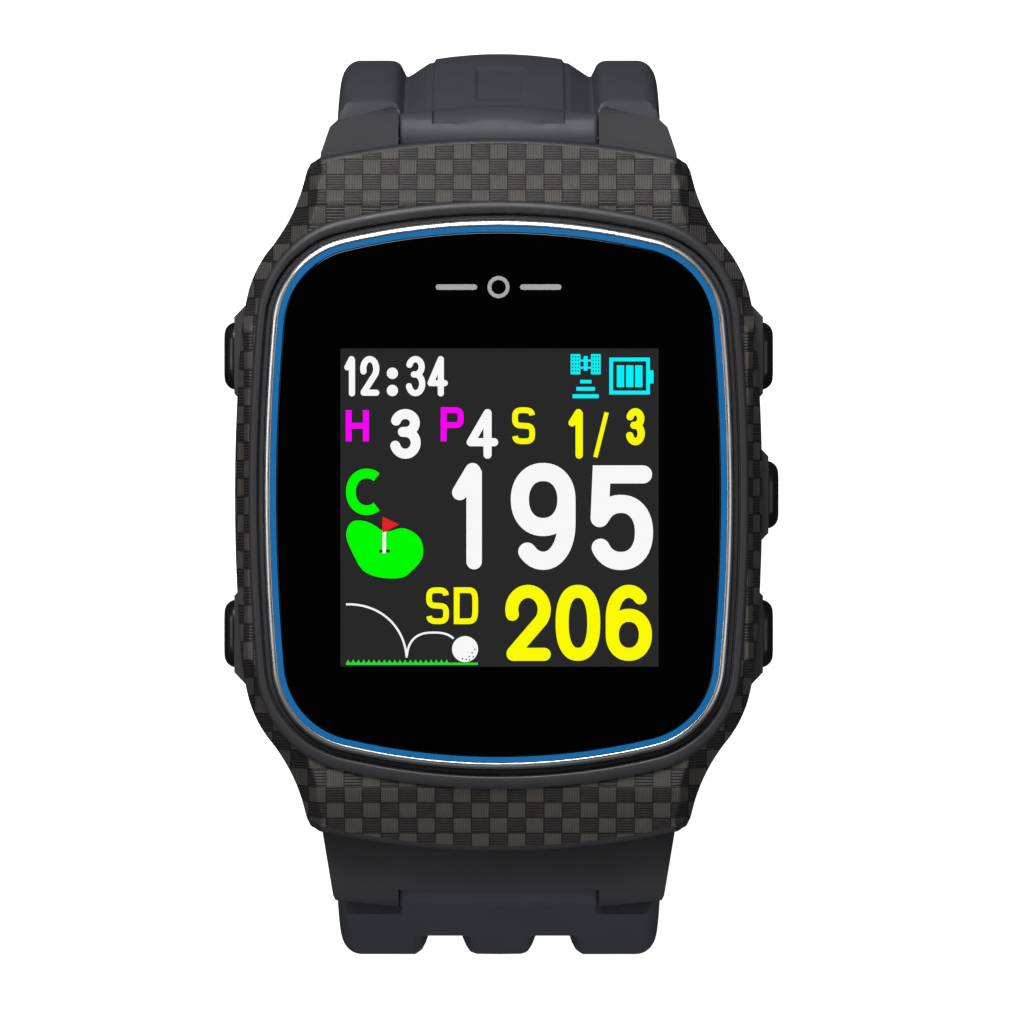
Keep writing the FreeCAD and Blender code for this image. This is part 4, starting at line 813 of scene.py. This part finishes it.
def strap_body(name, end, face, stations, corner, shelf, look):
    """A strap's full width part as a loft, closed at both ends. Its round edges shrink towards its end.

    The corner is the round edge's width and height, and the shelf cuts the ridges down beside the lugs.
    """
    rows = []
    for s in stations:
        (y, z), (ny, nz) = course(end, s)
        near = float(ease((s - stations[-1] + 8.0) / 7.5))
        wide, tall = (size + (0.35 - size) * near for size in corner)
        half, out = STRAP_X, STRAP_X - wide
        swing = np.radians(np.linspace(10, 90, 9))
        xs = np.concatenate([np.linspace(-out, out, 151), out + wide * np.sin(swing)])
        xs = np.concatenate([-xs[:150:-1], xs])
        top = face(np.minimum(np.abs(xs), out), s)
        beyond = np.clip((np.abs(xs) - out) / wide, 0, 1)
        top = top - tall * (1 - np.sqrt(1 - beyond**2))
        first_s, rate, least = shelf
        limit = least + rate * (s - first_s)
        ridge = ease((np.abs(xs) - 7.1) / 0.5)
        top = np.where(limit < top, top + (np.maximum(limit, -1.1) - top) * ridge, top)
        under = np.radians(np.linspace(0, 90, 5))
        inner = [(half - 0.45 * (1 - math.cos(a)), -STRAP_IN + 0.45 * (1 - math.sin(a))) for a in under]
        inner += [(half - 0.45 - (2 * half - 0.9) * k, -STRAP_IN) for k in np.linspace(0.08, 0.92, 12)]
        inner += [(-x, t) for x, t in inner[4::-1]]
        section = np.concatenate([np.stack([xs, top], 1), np.array(inner)])
        rows.append(np.stack([section[:, 0], y + section[:, 1] * ny, z + section[:, 1] * nz], 1))
    count = len(rows[0])
    faces = grid_faces(len(rows), count, wrap=True)
    faces.append(list(range(count)))
    faces.append([(len(rows) - 1) * count + c for c in range(count)][::-1])
    if end == "lower":
        faces = [list(f)[::-1] for f in faces]
    thing = build(name, np.concatenate(rows), faces, look, BODY_OF[f"{end}_strap"])
    return thing


def strap_tongue(name, end, face, look):
    """The narrow part between the lugs, round the spring bar, as far as the full width part."""
    radius, half, edge = 2.45, 7.3, 0.3
    below = [(s, -STRAP_IN) for s in (3.0, 2.6, 2.25)]
    around = [(radius * math.cos(a), radius * math.sin(a)) for a in np.radians(np.linspace(-32, -268, 44))]
    above = [(s, None) for s in np.linspace(0.05, 3.0, 26)]
    xs = np.concatenate([half - edge + edge * np.sin(np.radians(np.linspace(90, 15, 6))),
                         np.linspace(half - edge, edge - half, 121)])
    xs = np.concatenate([xs, -xs[5::-1]])
    columns = []
    for x in xs:
        lost = edge * (1 - math.sqrt(max(0.0, 1 - max(0.0, (abs(x) - half + edge) / edge) ** 2)))
        line = []
        for s, t in below + around + above:
            circle = math.sqrt(max(0.0, radius**2 - s**2))
            if t is None or (t > 1.0 and s > -1.4):
                open_top = float(face(np.array([abs(x)]), s)[0])
                level = float(face(np.array([0.0]), s)[0])
                cap = float(-eased_least(np.array([-circle]), np.array([-level]), 0.7)[0])
                t = cap - max(0.0, level - open_top)
            scale = 1 - lost / max(1.0, math.hypot(min(s, 0.0) if t > 0 else s, t))
            line.append((s, t * scale) if s > 0.4 else (s * scale, t * scale))
        columns.append(line)
    points = []
    for x, line in zip(xs, columns):
        for s, t in line:
            (y, z), (sy, sz) = course(end, s)
            points.append((x, y + t * sy, z + t * sz))
    size = len(columns[0])
    faces = grid_faces(len(xs), size)
    faces.append(list(range(size))[::-1])
    faces.append([(len(xs) - 1) * size + c for c in range(size)])
    if end == "upper":
        faces = [list(f)[::-1] for f in faces]
    thing = build(name, points, faces, look, BODY_OF[f"{end}_strap"])
    return thing


def keep_beyond(thing, end, s):
    """Cuts a strap's mesh across its course, s mm from its bar, and keeps the part beyond, open at the cut."""
    point, _ = course(end, s)
    past, _ = course(end, s + 0.5)
    work = bmesh.new()
    work.from_mesh(thing.data)
    bmesh.ops.bisect_plane(work, geom=[*work.verts, *work.edges, *work.faces], clear_inner=True, dist=1e-7,
                           plane_co=Vector((0, *point)) * MM, plane_no=Vector((0, *(past - point))).normalized())
    work.to_mesh(thing.data)
    work.free()


def make_straps():
    """Each strap is a loft and a tongue near the case, and the CAD's own shape with eased edges beyond."""
    look = LOOKS["strap_rubber"]
    arcs = reach_of("upper")
    stations = np.concatenate([np.arange(2.95, 24, 0.3), np.arange(24, arcs + 2.0, 0.7), [arcs + 2.0]])
    body = strap_body("buckle_half_strap", "upper", upper_face, stations, (1.4, 1.7), (2.95, 1.78, -0.9), look)
    strap_tongue("buckle_half_tongue", "upper", upper_face, look)
    keep_beyond(eased("upper_strap", 0.35), "upper", stations[-1])
    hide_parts("upper_strap")

    arcs = reach_of("lower")
    stations = np.concatenate([np.arange(2.95, 30, 0.35), np.arange(30, arcs, 0.8)])
    stations = stations[stations < arcs - 21.0]
    body = strap_body("tail_half_strap", "lower", lower_face, stations, (1.5, 1.6), (2.95, 2.4, -0.9), look)
    strap_tongue("tail_half_tongue", "lower", lower_face, look)
    keep_beyond(eased("lower_strap", 0.35), "lower", stations[-1])
    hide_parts("lower_strap")


make_straps()


# ------------------------------------------------------------------------------------ floor, light and camera

floor_look, floor_tree, floor_shader = material("table", (0.93, 0.93, 0.93), 0.9, 0.0, 0.1)
vary(floor_tree, spots(floor_tree, 60.0), (0.92, 0.92, 0.92), (0.94, 0.94, 0.94),
     floor_shader.inputs["Base Color"])
table = bpy.data.meshes.new("table")
table.from_pydata([(-3, -3, 0), (3, -3, 0), (3, 3, 0), (-3, 3, 0)], [], [(0, 1, 2, 3)])
table.materials.append(floor_look)
table = bpy.data.objects.new("table", table)
bpy.context.scene.collection.objects.link(table)
floor_shader.inputs["Emission Color"].default_value = (1, 1, 1, 1)
floor_shader.inputs["Emission Strength"].default_value = 0.85
table.visible_diffuse = False
table.visible_glossy = False


def panel_light(name, place, target, size, power, colour=(1, 1, 1)):
    """A square area light at a place in m, facing a target."""
    lamp = bpy.data.lights.new(name, "AREA")
    lamp.size = size
    lamp.energy = power
    lamp.color = colour
    thing = bpy.data.objects.new(name, lamp)
    thing.location = place
    thing.rotation_euler = (Vector(target) - Vector(place)).to_track_quat("-Z", "Y").to_euler()
    bpy.context.scene.collection.objects.link(thing)
    return thing


middle = (0.0, 0.0, 0.055)
panel_light("key", (-0.12, 0.58, 0.62), middle, 0.45, 5.5)
panel_light("side", (-0.6, 0.1, 0.55), middle, 0.3, 0.45)
panel_light("fill", (0.6, -0.1, 0.65), middle, 0.4, 0.4)
low = panel_light("low", (0.0, -0.72, 0.08), (0.0, 0.0, 0.03), 0.4, 2.5)
low.visible_glossy = False

world = bpy.data.worlds.new("studio")
world.use_nodes = True
links = world.node_tree.links
place = world.node_tree.nodes.new("ShaderNodeTexCoord")
split = world.node_tree.nodes.new("ShaderNodeSeparateXYZ")
ramp = world.node_tree.nodes.new("ShaderNodeValToRGB")
ramp.color_ramp.elements[0].position = 0.0
ramp.color_ramp.elements[0].color = (0.12, 0.12, 0.13, 1)
ramp.color_ramp.elements[1].position = 0.97
ramp.color_ramp.elements[1].color = (0.02, 0.02, 0.02, 1)
for stop, grey in ((0.5, 0.2), (0.8, 1.0)):
    ramp.color_ramp.elements.new(stop).color = (grey, grey, grey, 1)
background = world.node_tree.nodes["Background"]
background.inputs["Strength"].default_value = 0.22
links.new(place.outputs["Generated"], split.inputs["Vector"])
links.new(split.outputs["Z"], ramp.inputs["Fac"])
links.new(ramp.outputs["Color"], background.inputs["Color"])
bpy.context.scene.world = world
bpy.context.scene.view_settings.view_transform = "Standard"

camera = bpy.data.cameras.new("camera")
camera.sensor_width = 36
camera.lens = 36 * 500 / 72.95
camera.clip_start = 0.01
camera.clip_end = 10
eye = bpy.data.objects.new("camera", camera)
eye.location = (0.00043, -0.00072, GLASS_TOP * MM + 0.5)
bpy.context.scene.collection.objects.link(eye)
bpy.context.scene.camera = eye
